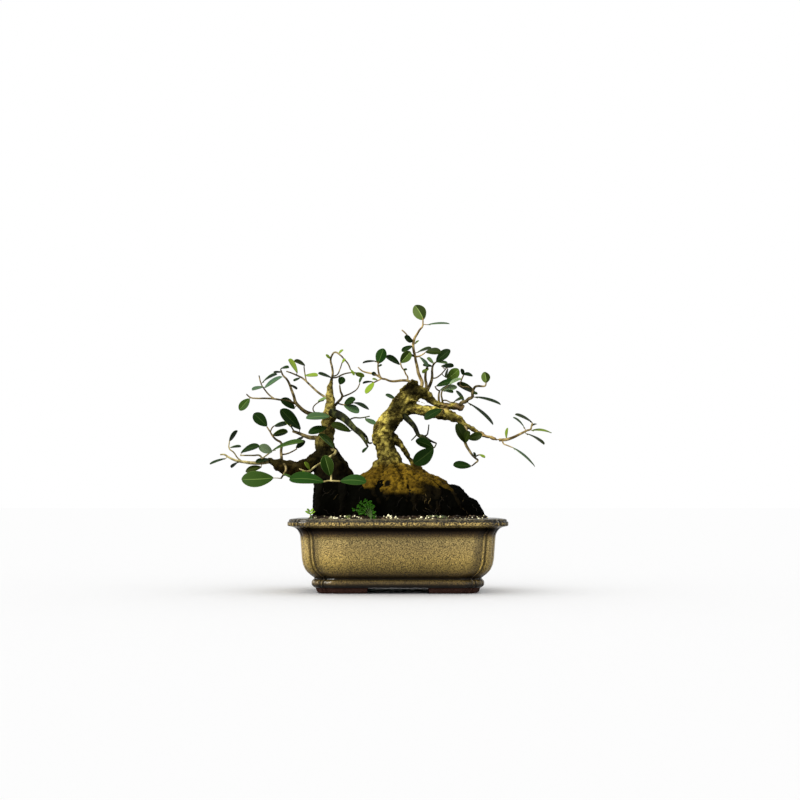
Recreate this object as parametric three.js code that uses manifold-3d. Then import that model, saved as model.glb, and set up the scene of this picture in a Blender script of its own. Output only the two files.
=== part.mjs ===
// A two-trunk ficus bonsai on its raised root ball, in a glazed pot with lobed corners.
// Millimetres, +Z up. The pot's front faces -Y, and the pot's centre is the working origin.
import * as THREE from 'three';
import { mergeVertices } from 'three/addons/utils/BufferGeometryUtils.js';
import Module from 'manifold-3d';

const wasm = await Module();
wasm.setup();

// Driving dimensions of the pot
const RIM_WIDTH = 254;
const RIM_DEPTH = 190;
const POT_HEIGHT = 86.2;
const FOOT_HEIGHT = 6.5;
const FOOT_INSET = 31;
const FOOT_BREADTH = 15;
const FRONT_FOOT_GAP = 71;
const SIDE_FOOT_GAP = 52;
const FLOOR_TOP = 14;
const DRAIN_RADIUS = 8;
const DRAIN_PLACE = 55;
const MESH_SIDE = 27;
const MESH_THICKNESS = 1;

// What every piece shares
const CLEARANCE = 0.3;
const BLADE_THICKNESS = 0.8;
const STALK_HALF_WIDTH = 0.7;
const STALK_SINK = 0.5;
const SHORT_STALK = 2.2;
const TWIG_BEND = 0.9;
const LEAF_SLENDERNESS = 0.56;
const WIDEST_LEAF = 20;

// The plant is laid out on the upright plane through the pot's middle, as it is seen from
// this point in front of it, and each piece is then moved along its line of sight to its depth.
// The heights of the plant are read from a line this far above the surface that the pot stands on.
const EYE = new THREE.Vector3(2.4, -1900, 103);
const READING_RISE = 8;

const COLOURS = {
  glaze: { color: 0x8f7d4a, roughness: 0.3, metalness: 0 },
  bark: { color: 0x7d6a2e, roughness: 0.85, metalness: 0 },
  darkBark: { color: 0x4a4028, roughness: 0.9, metalness: 0 },
  rootBall: { color: 0x171310, roughness: 1, metalness: 0 },
  soil: { color: 0x3a3126, roughness: 1, metalness: 0 },
  leaf: { color: 0x2f5a26, roughness: 0.4, metalness: 0 },
  weed: { color: 0x3f9a2a, roughness: 0.6, metalness: 0 },
  mesh: { color: 0x20211f, roughness: 0.6, metalness: 0 },
};

// Seeded random draws, so that every build is the same
function randomDraws(seed) {
  let state = seed;
  return () => {
    state = (state + 0x6d2b79f5) | 0;
    let mixed = Math.imul(state ^ (state >>> 15), 1 | state);
    mixed = (mixed + Math.imul(mixed ^ (mixed >>> 7), 61 | mixed)) ^ mixed;
    return ((mixed ^ (mixed >>> 14)) >>> 0) / 4294967296;
  };
}

// A smooth bumpy value between -1 and 1 for a point, for bark, roots and soil
function bumps(x, y, z, length) {
  const wave = (a, b, c, turn) => Math.sin((a * x + b * y + c * z) / length + turn);
  const coarse = wave(6.1, 2.3, 1.7, 0.4) + wave(-1.9, 5.7, 3.1, 2.1) + wave(2.7, -3.3, 5.9, 4.4);
  const fine = wave(11.3, -7.1, 9.7, 1.3) + wave(-8.9, 12.7, -6.3, 3.7);
  return (coarse + 0.6 * fine) / 4.2;
}

// Booleans and closed bodies
function solidOf(geometry) {
  const bare = geometry.clone();
  bare.deleteAttribute('normal');
  bare.deleteAttribute('uv');
  const merged = mergeVertices(bare, 1e-4);
  const mesh = new wasm.Mesh({
    numProp: 3,
    vertProperties: new Float32Array(merged.attributes.position.array),
    triVerts: new Uint32Array(merged.index.array),
  });
  return new wasm.Manifold(mesh);
}

function geometryOf(solid) {
  const mesh = solid.getMesh();
  const geometry = new THREE.BufferGeometry();
  geometry.setAttribute('position', new THREE.BufferAttribute(new Float32Array(mesh.vertProperties), 3));
  geometry.setIndex(new THREE.BufferAttribute(new Uint32Array(mesh.triVerts), 1));
  return geometry;
}

function unite(solids) {
  return solids.reduce((whole, next) => whole.add(next));
}

// The largest connected body, so that no loose scrap is left after a cut
function mainBody(solid) {
  const bodies = solid.decompose();
  return bodies.reduce((best, next) => (next.volume() > best.volume() ? next : best));
}

function boxSolid(width, depth, height, x, y, z) {
  const geometry = new THREE.BoxGeometry(width, depth, height);
  geometry.translate(x, y, z);
  return solidOf(geometry);
}

// A closed skin over rings of points that run counterclockwise, from the lowest ring up
function loft(rings) {
  const count = rings[0].length;
  const positions = rings.flat().flatMap((point) => [point.x, point.y, point.z]);
  const index = [];
  for (let ring = 0; ring < rings.length - 1; ring += 1) {
    for (let step = 0; step < count; step += 1) {
      const a = ring * count + step;
      const b = ring * count + ((step + 1) % count);
      index.push(a, b, b + count, a, b + count, a + count);
    }
  }
  const flat = (ring) => ring.map((point) => new THREE.Vector2(point.x, point.y));
  const top = (rings.length - 1) * count;
  for (const [a, b, c] of THREE.ShapeUtils.triangulateShape(flat(rings[0]), [])) {
    index.push(a, c, b);
  }
  for (const [a, b, c] of THREE.ShapeUtils.triangulateShape(flat(rings.at(-1)), [])) {
    index.push(top + a, top + b, top + c);
  }
  const geometry = new THREE.BufferGeometry();
  geometry.setAttribute('position', new THREE.Float32BufferAttribute(positions, 3));
  geometry.setIndex(index);
  return solidOf(geometry);
}

// The pot's corner in plan, from the end of the long panel to the end of the short one:
// a rounded panel end, a groove, a thin upright bead, a groove and a quarter-round lobe.
// Each pair is the distance in from the short side and from the long side.
const LOBE_CENTRE = 11.5;
const LOBE_RADIUS = 7.8;
const PLAIN_CORNER = 12;

function lobePoint(degrees) {
  const angle = THREE.MathUtils.degToRad(degrees);
  return [LOBE_CENTRE - LOBE_RADIUS * Math.sin(angle), LOBE_CENTRE - LOBE_RADIUS * Math.cos(angle)];
}

const HALF_CORNER = [[17.2, 0], [14.8, 4.1], [12.9, 2.1], [11.1, 4.9], lobePoint(16)];
const LOBED_CORNER = [...HALF_CORNER, lobePoint(45), ...HALF_CORNER.map(([u, v]) => [v, u]).reverse()];

// One corner, blended from a plain round one at relief 0 to the lobed one at relief 1
function cornerPath(relief) {
  const size = 1 + 0.25 * (1 - relief);
  return LOBED_CORNER.map(([u, v], step) => {
    const angle = (step / (LOBED_CORNER.length - 1)) * (Math.PI / 2);
    const plain = [PLAIN_CORNER * (1 - Math.sin(angle)), PLAIN_CORNER * (1 - Math.cos(angle))];
    return [
      THREE.MathUtils.lerp(plain[0], u * size, relief),
      THREE.MathUtils.lerp(plain[1], v * size, relief),
    ];
  });
}

function planRing(z, inset, relief) {
  const path = cornerPath(relief);
  const back = [...path].reverse();
  const corners = [[-1, -1, back], [1, -1, path], [1, 1, back], [-1, 1, path]];
  return corners.flatMap(([sx, sy, points]) => points.map(([u, v]) => new THREE.Vector3(
    sx * (RIM_WIDTH / 2 - inset - u),
    sy * (RIM_DEPTH / 2 - inset - v),
    z,
  )));
}

// A plain rounded plan for the inside of the pot and the soil that fills it
const INSIDE_CORNER = 15;
const INSIDE_STEPS = 4;

function insideRing(z, inset) {
  const corners = [[1, -1, -90], [1, 1, 0], [-1, 1, 90], [-1, -1, 180]];
  return corners.flatMap(([sx, sy, start]) => {
    const points = [];
    for (let step = 0; step <= INSIDE_STEPS; step += 1) {
      const angle = THREE.MathUtils.degToRad(start + (90 * step) / INSIDE_STEPS);
      points.push(new THREE.Vector3(
        sx * (RIM_WIDTH / 2 - inset - INSIDE_CORNER) + INSIDE_CORNER * Math.cos(angle),
        sy * (RIM_DEPTH / 2 - inset - INSIDE_CORNER) + INSIDE_CORNER * Math.sin(angle),
        z,
      ));
    }
    return points;
  });
}

// Height, distance in from the rim's edge and depth of the corner lobes, from the base up:
// the belt moulding, its groove, the bellied body, the hollow under the rim, the rim's upright
// face, the groove in it and its rounded top edge
const POT_PROFILE = [
  [FOOT_HEIGHT, 29, 0.6], [9.4, 26.6, 0.7], [13.6, 26.6, 0.7], [16.2, 29.2, 0.8], [19.7, 26, 1],
  [27.4, 19, 1], [38, 15.6, 1], [67, 13.6, 1], [73, 10.6, 0.8], [77, 5, 0.7],
  [77.7, 0.3, 0.55], [82.3, 0, 0.55], [82.9, 1, 0.55], [85, 1.3, 0.55], [POT_HEIGHT, 3.2, 0.55],
];

// Height and distance in from the rim's edge of the pot's inside, from the floor up
const INSIDE_PROFILE = [
  [FLOOR_TOP, 38], [17, 34.5], [24, 29.5], [34, 24.8], [48, 22], [POT_HEIGHT + 2, 20.6],
];

function insideSolid(shrink, top) {
  const rings = INSIDE_PROFILE.map(([z, inset]) => insideRing(z, inset + shrink));
  rings[0].forEach((point) => point.setZ(FLOOR_TOP + shrink));
  rings.at(-1).forEach((point) => point.setZ(top));
  return loft(rings);
}

// Four corner feet: a ring under the belt with the middles of its sides cut away aslant
const FOOT_TAPER = 2.5;
const FOOT_SLANT = 4;

function feetSolid() {
  const joined = FOOT_HEIGHT + 0.5;
  const outside = loft([planRing(0, FOOT_INSET + FOOT_TAPER, 0.5), planRing(joined, FOOT_INSET, 0.5)]);
  const core = boxSolid(
    RIM_WIDTH - 2 * (FOOT_INSET + FOOT_BREADTH),
    RIM_DEPTH - 2 * (FOOT_INSET + FOOT_BREADTH),
    4 * joined, 0, 0, 0,
  );
  const gapCutter = (gap, length, turn) => {
    const wide = (gap + FOOT_SLANT) / 2;
    const narrow = (gap - FOOT_SLANT) / 2;
    const shape = new THREE.Shape([
      new THREE.Vector2(-wide, -1), new THREE.Vector2(wide, -1),
      new THREE.Vector2(narrow, joined + 1), new THREE.Vector2(-narrow, joined + 1),
    ]);
    const geometry = new THREE.ExtrudeGeometry(shape, { depth: length, bevelEnabled: false });
    geometry.translate(0, 0, -length / 2);
    geometry.rotateX(Math.PI / 2);
    geometry.rotateZ(turn);
    return solidOf(geometry);
  };
  return outside.subtract(core)
    .subtract(gapCutter(FRONT_FOOT_GAP, RIM_DEPTH, 0))
    .subtract(gapCutter(SIDE_FOOT_GAP, RIM_WIDTH, Math.PI / 2));
}

function potSolid() {
  const body = loft(POT_PROFILE.map(([z, inset, relief]) => planRing(z, inset, relief)));
  const drain = new THREE.CylinderGeometry(DRAIN_RADIUS, DRAIN_RADIUS, 3 * FLOOR_TOP, 16);
  drain.rotateX(Math.PI / 2);
  const drains = [-DRAIN_PLACE, DRAIN_PLACE].map((x) => solidOf(drain.clone().translate(x, 0, 0)));
  return body.add(feetSolid()).subtract(insideSolid(0, POT_HEIGHT + 2)).subtract(unite(drains));
}

// A square of plastic mesh over each drainage hole, which keeps the soil in
const MESH_BARS = 3;
const BAR_WIDTH = 2.4;

function drainageMesh(x) {
  const z = FLOOR_TOP + CLEARANCE + MESH_THICKNESS / 2;
  const bars = [];
  for (let bar = 0; bar < MESH_BARS; bar += 1) {
    const across = (MESH_SIDE - BAR_WIDTH) * (bar / (MESH_BARS - 1) - 0.5);
    bars.push(boxSolid(BAR_WIDTH, MESH_SIDE, MESH_THICKNESS, x + across, 0, z));
    bars.push(boxSolid(MESH_SIDE, BAR_WIDTH, MESH_THICKNESS, x, across, z));
  }
  return unite(bars);
}

// The root ball: a long mound of matted roots and old soil. For stations along X it has
// the height of its ridge and half its depth, and its sections are superellipses.
const BALL_BASE = 78;
const BALL_BOTTOM = 54;
const BALL_SHAPE = 2.7;
const BALL_STATIONS = [
  [-101, 118, 30], [-97, 127, 40], [-86, 130, 49], [-68, 130, 53], [-50, 131, 55], [-30, 138, 57],
  [-12, 143, 58], [8, 141, 58], [28, 136.5, 57], [46, 130, 55], [60, 126.5, 52], [71, 125.5, 48],
  [78, 119, 44], [85, 111, 40], [94, 107, 34], [98.5, 98, 29], [104, 88, 22],
];

function ballSection(x) {
  const after = Math.max(1, BALL_STATIONS.findIndex((station) => station[0] >= x));
  const [x0, h0, d0] = BALL_STATIONS[after - 1];
  const [x1, h1, d1] = BALL_STATIONS[after];
  const along = THREE.MathUtils.clamp((x - x0) / (x1 - x0), 0, 1);
  return { ridge: THREE.MathUtils.lerp(h0, h1, along), half: THREE.MathUtils.lerp(d0, d1, along) };
}

// The height of the ball's skin over a point of the plan
function ballTop(x, y) {
  const { ridge, half } = ballSection(x);
  const out = Math.min(1, Math.abs(y) / half);
  return BALL_BASE + (ridge - BALL_BASE) * (1 - out ** BALL_SHAPE) ** (1 / BALL_SHAPE);
}

// The depth of the ball's front face at a height, negative towards the front
function ballFront(x, z) {
  const { ridge, half } = ballSection(x);
  const up = THREE.MathUtils.clamp((z - BALL_BASE) / (ridge - BALL_BASE), 0, 0.999);
  return -half * (1 - up ** BALL_SHAPE) ** (1 / BALL_SHAPE);
}

function ballSolid(grow) {
  const turns = [0, 0.14, 0.29, 0.43, 0.57, 0.71, 0.86, 1];
  const ends = { first: BALL_STATIONS[0][0], last: BALL_STATIONS.at(-1)[0] };
  const rings = BALL_STATIONS.map(([x, ridge, half]) => {
    const shift = (x === ends.first ? -grow : 0) + (x === ends.last ? grow : 0);
    const section = [[-half * 0.86 - grow, BALL_BOTTOM - grow]];
    turns.forEach((turn) => {
      const angle = Math.PI * (1 - turn);
      const y = half * Math.sign(Math.cos(angle)) * Math.abs(Math.cos(angle)) ** (2 / BALL_SHAPE);
      const z = BALL_BASE + (ridge - BALL_BASE) * Math.sin(angle) ** (2 / BALL_SHAPE);
      const rough = 1.7 * bumps(x, y, z, 60);
      const reach = Math.hypot(y, z - BALL_BOTTOM);
      const scale = 1 + (rough + grow) / reach;
      section.push([y * scale, BALL_BOTTOM + (z - BALL_BOTTOM) * scale]);
    });
    section.push([half * 0.86 + grow, BALL_BOTTOM - grow]);
    return section.map(([y, z]) => new THREE.Vector3(z, y, x + shift));
  });
  const lying = loft(rings);
  // The loft runs up Z, so its Z becomes X and its X becomes height.
  return lying.rotate([0, 90, 0]).scale([1, 1, -1]);
}

// The reading x, z on the middle plane as it is seen from the eye, carried to depth y
function place(x, z, y) {
  const reach = (y - EYE.y) / -EYE.y;
  return new THREE.Vector3(
    EYE.x + (x - EYE.x) * reach,
    y,
    EYE.z + (z + READING_RISE - EYE.z) * reach,
  );
}

// A stem or root: a round bar bent along a smooth curve through its points, thinning by its
// list of radii. rough is how far its bark stands in and out, as a share of its radius.
function limb(points, radii, sides = 6, rough = 0, grow = 0) {
  const curve = new THREE.CatmullRomCurve3(points, false, 'centripetal');
  const segments = points.length - 1;
  const rings = points.map((point, step) => {
    const along = (step / segments) * (radii.length - 1);
    const before = Math.min(radii.length - 2, Math.floor(along));
    const radius = THREE.MathUtils.lerp(radii[before], radii[before + 1], along - before);
    return { tangent: curve.getTangent(step / segments), radius };
  });
  const first = rings[0].tangent;
  const sideways = new THREE.Vector3(0, 1, 0).cross(first);
  rings[0].out = (sideways.length() > 0.2 ? sideways : new THREE.Vector3(1, 0, 0).cross(first)).normalize();
  rings.slice(1).forEach((ring, step) => {
    const turn = new THREE.Quaternion().setFromUnitVectors(rings[step].tangent, ring.tangent);
    ring.out = rings[step].out.clone().applyQuaternion(turn);
  });
  const geometry = new THREE.CylinderGeometry(1, 1, 1, sides, segments);
  const position = geometry.attributes.position;
  for (let vertex = 0; vertex < position.count; vertex += 1) {
    const step = Math.round((position.getY(vertex) + 0.5) * segments);
    const { tangent, radius, out } = rings[step];
    const spoke = out.clone().multiplyScalar(position.getZ(vertex));
    spoke.addScaledVector(out.clone().cross(tangent), -position.getX(vertex));
    const skin = points[step].clone().addScaledVector(spoke, radius);
    const uneven = 1 + rough * bumps(skin.x, skin.y, skin.z, 40);
    const spot = points[step].clone().addScaledVector(spoke, radius * uneven + grow);
    const ending = step === 0 ? -grow : Number(step === segments) * grow;
    spot.addScaledVector(tangent, ending);
    position.setXYZ(vertex, spot.x, spot.y, spot.z);
  }
  return solidOf(geometry);
}

// A limb whose points are read on the middle plane as x, z and depth
function placedLimb(readings, radii, sides, rough, grow) {
  return limb(readings.map((reading) => place(...reading)), radii, sides, rough, grow);
}

// The wood of the left tree: a tapering trunk that ends in a dead stub, a thick low bough to
// the left, and a root limb to the right
function leftTrunkSolid(grow) {
  const trunk = placedLimb(
    [[-77, 112, 0], [-79, 128, 0], [-81, 140, 0], [-83, 150, 1], [-86, 160, 2], [-88, 170, 2],
      [-85, 180, 2],
      [-83, 192, 1], [-82, 203, 0], [-81, 213, -1], [-81, 222, -1], [-82, 232, 0], [-81, 240, 0],
      [-79, 246, 0]],
    [29, 25.5, 20, 14.5, 12, 10.5, 8.5, 8, 8, 6, 5, 4, 3, 1.8], 9, 0.2, grow,
  );
  const bough = placedLimb(
    [[-86, 152, 0], [-97, 147, -2], [-108, 141, -6], [-120, 137, -9], [-131, 138, -12], [-141, 141, -14],
      [-149, 145, -15], [-156, 148, -16]],
    [11, 10, 9.5, 9.5, 9.5, 8, 5, 2.6], 7, 0.22, grow,
  );
  const rootLimb = placedLimb(
    [[-74, 153, -2], [-69.5, 148, -4], [-65, 142.5, -5], [-60.5, 135.5, -6], [-57, 127, -8],
      [-55, 118, -8]],
    [4, 3.6, 3.8, 4.4, 5, 5], 6, 0.2, grow,
  );
  const side = placedLimb([[-80, 142, 8], [-92, 130, 16], [-96, 118, 24]], [12, 11, 8], 8, 0.2, grow);
  return unite([trunk, bough, rootLimb, side]);
}

// Surface roots of the left tree that run down the front and the back of the ball
function leftRootsSolid(grow) {
  const routes = [
    [[-66, 120], [-64, 108], [-64, 96], [-65, 84]],
    [[-91, 118], [-92, 104], [-94, 84]],
  ];
  const radii = [6, 6, 5, 4];
  return unite(routes.flatMap((route) => [1, -1].map((side) => surfaceRoot(route, side, radii, grow))));
}

// How far a surface root's middle lies under the ball's skin
const ROOT_SINK = 1.5;

// A root that starts on the ball's top and lies on its front (side 1) or back (side -1) face
function surfaceRoot(route, side, radii, grow) {
  const points = route.map(([x, height]) => {
    const z = height + READING_RISE;
    return new THREE.Vector3(x, side * (ballFront(x, z) + ROOT_SINK), z);
  });
  const topX = points[0].x;
  const topY = 0.75 * side * ballFront(topX, points[0].z);
  points.unshift(new THREE.Vector3(topX, topY, ballTop(topX, topY)));
  return limb(points, radii, 4, 0.15, grow);
}

// The wood of the right tree: a knobbly leaning trunk with a cut head, a heavy bough to the
// right, a second bough from the head, a prop root, and roots that spread over the ball
function rightTrunkSolid(grow) {
  const trunk = placedLimb(
    [[-12, 130, 0], [-11.5, 141, 0], [-11, 149, 0], [-14, 157, 0], [-16.5, 166, 0], [-18.5, 174, 0],
      [-17, 183, 0],
      [-12.5, 191, 0], [-6, 199, 0], [0, 207, 0], [6, 216, 0], [13, 224, 0], [22, 229, 0], [33, 228, 1]],
    [24, 19, 14, 12, 11.2, 12.5, 13, 12.2, 11.8, 11.5, 11.5, 11.5, 9, 6.5], 9, 0.2, grow,
  );
  const head = placedLimb([[8, 226, 1], [17, 237, 1], [20, 243, 1]], [8.5, 7, 4.6], 7, 0.15, grow);
  const bough = placedLimb(
    [[2, 207, 0], [14, 209.5, -1], [25, 208, -3], [35, 206, -6], [45, 204.5, -9], [55, 202.5, -12],
      [65, 199.5, -15],
      [73, 195.5, -18], [81, 189.5, -20], [89, 185, -22], [97, 180.5, -24], [105, 176.5, -27],
      [115, 173, -29],
      [125, 171.2, -30]],
    [9, 6.8, 7.4, 6.6, 7.6, 8, 7.4, 6.2, 5, 4, 3.2, 2.6, 2.1, 1.8], 7, 0.18, grow,
  );
  const second = placedLimb(
    [[28, 231, 2], [35, 225, 5], [40, 219, 7], [47, 214.5, 8], [56, 212.5, 9], [66, 212, 10],
      [74, 210.5, 10],
      [79, 209, 10]],
    [7, 5.8, 5, 4.2, 3.8, 3.8, 4.8, 4.3], 6, 0.18, grow,
  );
  const prop = placedLimb(
    [[-8, 178, 1], [-2, 171, 2], [3, 165, 3], [8, 158, 4], [13, 150, 4], [18, 143, 4], [26, 135, 4]],
    [6, 6, 5.6, 4, 3.6, 4.4, 6], 6, 0.2, grow,
  );
  const stub = placedLimb(
    [[8, 217, -6], [17, 218.3, -10], [26, 217.6, -14], [33, 215, -16]], [1.6, 1, 0.9, 0.8], 5, 0, grow,
  );
  return unite([trunk, head, bough, second, prop, stub]);
}

// Roots that spread from the right trunk over the top of the ball, long to the right and
// short to the left, grown together into its golden skirt: one sheet in ridges and furrows
const SKIRT_CENTRE = [-11, 0];
const SKIRT_RIDGES = 9;
const SKIRT_SPOKES = 30;
const SKIRT_THICKNESS = 14;
const SKIRT_DEPTH = 54;

function skirtSolid(grow) {
  const ring = (share, rise) => {
    const points = [];
    for (let spoke = 0; spoke < SKIRT_SPOKES; spoke += 1) {
      const angle = (2 * Math.PI * spoke) / SKIRT_SPOKES;
      const ridge = Math.cos(SKIRT_RIDGES * angle + 1.2 * Math.sin(2 * angle) + 0.9 * share);
      const reach = (37 + 30 * ((1 + Math.cos(angle)) / 2) ** 1.5 + 5 * ridge) * share + grow;
      const x = SKIRT_CENTRE[0] + reach * Math.cos(angle);
      const aside = THREE.MathUtils.clamp(1.35 * reach * Math.sin(angle), -SKIRT_DEPTH, SKIRT_DEPTH);
      const y = SKIRT_CENTRE[1] + aside;
      const relief = 2.2 * ridge * Math.min(1, 2.5 * share) + 1.2 * bumps(x, y, 0, 30);
      const height = rise === 0 ? -SKIRT_THICKNESS - grow : rise + relief + grow;
      points.push(new THREE.Vector3(x, y, ballTop(x, y) + height));
    }
    return points;
  };
  return loft([ring(0.7, 0), ring(1, -3), ring(0.85, 2.8), ring(0.58, 5), ring(0.3, 8.5)]);
}

// Thinner roots that run on from the skirt, down the front and back of the ball
const FRONT_ROOTS = [
  [[26, 122], [23, 110], [19, 98], [20, 86]],
  [[38, 120], [48, 109], [45, 98], [48, 84]],
  [[-8, 122], [-9, 110], [-13, 98]],
  [[8, 122], [9, 108], [11, 96]],
  [[-32, 118], [-28, 107], [-20, 94]],
  [[45, 120], [60, 112], [69, 101], [74, 86]],
];
const BACK_ROOTS = [
  [[34, 120], [40, 106], [38, 86]],
  [[4, 122], [1, 106], [6, 92]],
  [[-30, 118], [-33, 104], [-28, 90]],
];

function runningRootsSolid(grow) {
  const radii = [4.6, 3.8, 3.2, 2.4];
  const along = (route, side) => surfaceRoot(route, side, radii, grow);
  const front = FRONT_ROOTS.map((route) => along(route, 1));
  const back = BACK_ROOTS.map((route) => along(route, -1));
  return unite([...front, ...back]);
}

// Half-widths of a blade at shares of its length. The leaf is broad, blunt and smooth-edged,
// and the weed's frond is cut into leaflets.
const LEAF_OUTLINE = [[0.13, 0.46], [0.4, 0.94], [0.68, 1], [0.9, 0.64]];
const SMALL_OUTLINE = [[0.2, 0.66], [0.55, 1], [0.86, 0.7]];
const BUD_OUTLINE = [[0.3, 0.9], [0.75, 0.85]];
const FROND_OUTLINE = [[0.3, 1], [0.45, 0.35], [0.62, 0.9], [0.76, 0.3]];
const BUD_LENGTH = 13;
const SMALL_LENGTH = 26;
const FLAT_WIDTH = 6;
const NARROW_WIDTH = 4.5;
const THIN_TWIG = 1.6;
const SPAN_SHARES = [0, 0.2, 0.4, 0.6, 0.8, 1];

function outlineFor(length, shown) {
  if (length < BUD_LENGTH || (length < SMALL_LENGTH && shown < NARROW_WIDTH)) {
    return BUD_OUTLINE;
  }
  return length < SMALL_LENGTH ? SMALL_OUTLINE : LEAF_OUTLINE;
}

// A leaf: a thin blade from its base to its tip, arched along its length, and folded up a
// little at its midrib unless it is seen edge on, with its stalk back to the stem at root.
// shown is the width that the front view sees, so the blade is rolled until it shows that much.
function leafSolid(root, base, tip, shown, faceUp, outline) {
  const length = base.distanceTo(tip);
  const axis = tip.clone().sub(base).divideScalar(length);
  const width = Math.max(shown, Math.min(LEAF_SLENDERNESS * length, WIDEST_LEAF));
  const roll = Math.acos(Math.min(1, shown / width));
  const toEye = EYE.clone().sub(base).normalize();
  toEye.addScaledVector(axis, -toEye.dot(axis)).normalize();
  const across = axis.clone().cross(toEye);
  const facing = toEye.clone().multiplyScalar(faceUp ? Math.cos(roll) : -Math.cos(roll));
  const lift = across.clone().multiplyScalar(Math.sin(roll) * (across.z >= 0 ? 1 : -1));
  const normal = facing.add(lift).normalize();
  const folded = shown > FLAT_WIDTH;
  const arch = 0.07 * length;
  const fold = folded ? 0.16 : 0;
  const row = (middle, along, reach) => {
    const up = normal.clone().addScaledVector(along, -normal.dot(along));
    const steady = up.length() > 0.3 ? up.normalize() : across.clone();
    const side = steady.clone().cross(along).normalize();
    const edge = (sign) => middle.clone().addScaledVector(side, sign * reach)
      .addScaledVector(steady, fold * reach);
    return { points: folded ? [edge(1), middle, edge(-1)] : [edge(1), edge(-1)], normal: steady };
  };
  const rows = outline.map(([share, half]) => {
    const middle = base.clone().lerp(tip, share).addScaledVector(normal, arch * 4 * share * (1 - share));
    return row(middle, axis, (half * width) / 2);
  });
  const stalk = base.clone().sub(root);
  if (stalk.length() > SHORT_STALK) {
    const along = stalk.clone().normalize();
    rows.unshift(row(base, along.clone().add(axis).normalize(), STALK_HALF_WIDTH));
    rows.unshift(row(root.clone().addScaledVector(along, -STALK_SINK), along, STALK_HALF_WIDTH));
  } else {
    rows.unshift(row(root.clone().addScaledVector(axis, -STALK_SINK), axis, STALK_HALF_WIDTH));
  }
  return bladeSolid(rows, tip);
}

// A thin closed blade over rows of two or three points that ends in a point. Both faces are
// split into the same triangles, and a band joins them round the edge.
function bladeSolid(rows, end) {
  const columns = rows[0].points.length;
  const face = [...rows.flatMap((row) => row.points), end];
  const normals = [...rows.flatMap((row) => row.points.map(() => row.normal)), rows.at(-1).normal];
  const count = face.length;
  const last = count - 1;
  const positions = [1, -1].flatMap((sign) => face.flatMap((point, step) => {
    const spot = point.clone().addScaledVector(normals[step], (sign * BLADE_THICKNESS) / 2);
    return [spot.x, spot.y, spot.z];
  }));
  const triangles = [];
  for (let a = 0; a < last - columns; a += 1) {
    if (a % columns < columns - 1) {
      triangles.push([a, a + 1, a + columns + 1], [a, a + columns + 1, a + columns]);
    }
  }
  for (let a = last - columns; a < last - 1; a += 1) {
    triangles.push([a, a + 1, last]);
  }
  const left = rows.map((row, step) => columns * step);
  const right = rows.map((row, step) => columns * step + columns - 1).reverse();
  const middle = columns === 3 ? [1] : [];
  const border = [...left, last, ...right, ...middle];
  const index = triangles.flatMap(([a, b, c]) => [a, b, c, count + a, count + c, count + b]);
  border.forEach((from, step) => {
    const to = border[(step + 1) % border.length];
    index.push(from, count + to, count + from, from, to, count + to);
  });
  const geometry = new THREE.BufferGeometry();
  geometry.setAttribute('position', new THREE.Float32BufferAttribute(positions, 3));
  geometry.setIndex(index);
  return solidOf(geometry);
}

// The readings of a twig without those that lie close to the line between their neighbours
function thinned(readings) {
  const kept = [readings[0]];
  readings.slice(1, -1).forEach((reading, step) => {
    const spot = new THREE.Vector3(...reading);
    const from = new THREE.Vector3(...kept.at(-1));
    const to = new THREE.Vector3(...readings[step + 2]);
    const nearest = new THREE.Line3(from, to).closestPointToPoint(spot, true, new THREE.Vector3());
    if (nearest.distanceTo(spot) > TWIG_BEND) {
      kept.push(reading);
    }
  });
  return [...kept, readings.at(-1)];
}

// A leafy stem. Each twig is its first and last radius and its readings x, z, depth. Each leaf
// is the readings of its base and its tip, the width seen, and how much deeper its tip lies.
// A leaf's stalk starts at the nearest point of the twigs.
function spraySolid(allTwigs, leaves) {
  const twigs = allTwigs.map(([first, last, readings]) => [first, last, thinned(readings)]);
  const nearby = twigs.flatMap(([, , readings]) => readings.slice(1).flatMap((reading, step) => {
    const from = place(...readings[step]);
    const to = place(...reading);
    return SPAN_SHARES.map((share) => from.clone().lerp(to, share));
  }));
  const wood = twigs.map(([first, last, readings]) => {
    const ends = readings.length - 1;
    const radii = readings.map((reading, step) => THREE.MathUtils.lerp(first, last, step / ends));
    return placedLimb(readings, radii, first > THIN_TWIG ? 4 : 3, 0, 0);
  });
  const blades = leaves.map(([x0, z0, x1, z1, shown, deeper = 0, faceUp = true]) => {
    const away = (point) => place(x0, z0, point.y).distanceTo(point);
    const joint = nearby.reduce((best, next) => (away(next) < away(best) ? next : best));
    const base = place(x0, z0, joint.y);
    const tip = place(x1, z1, joint.y + deeper);
    return leafSolid(joint, base, tip, shown, faceUp, outlineFor(base.distanceTo(tip), shown));
  });
  return unite([...wood, ...blades]);
}

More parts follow.
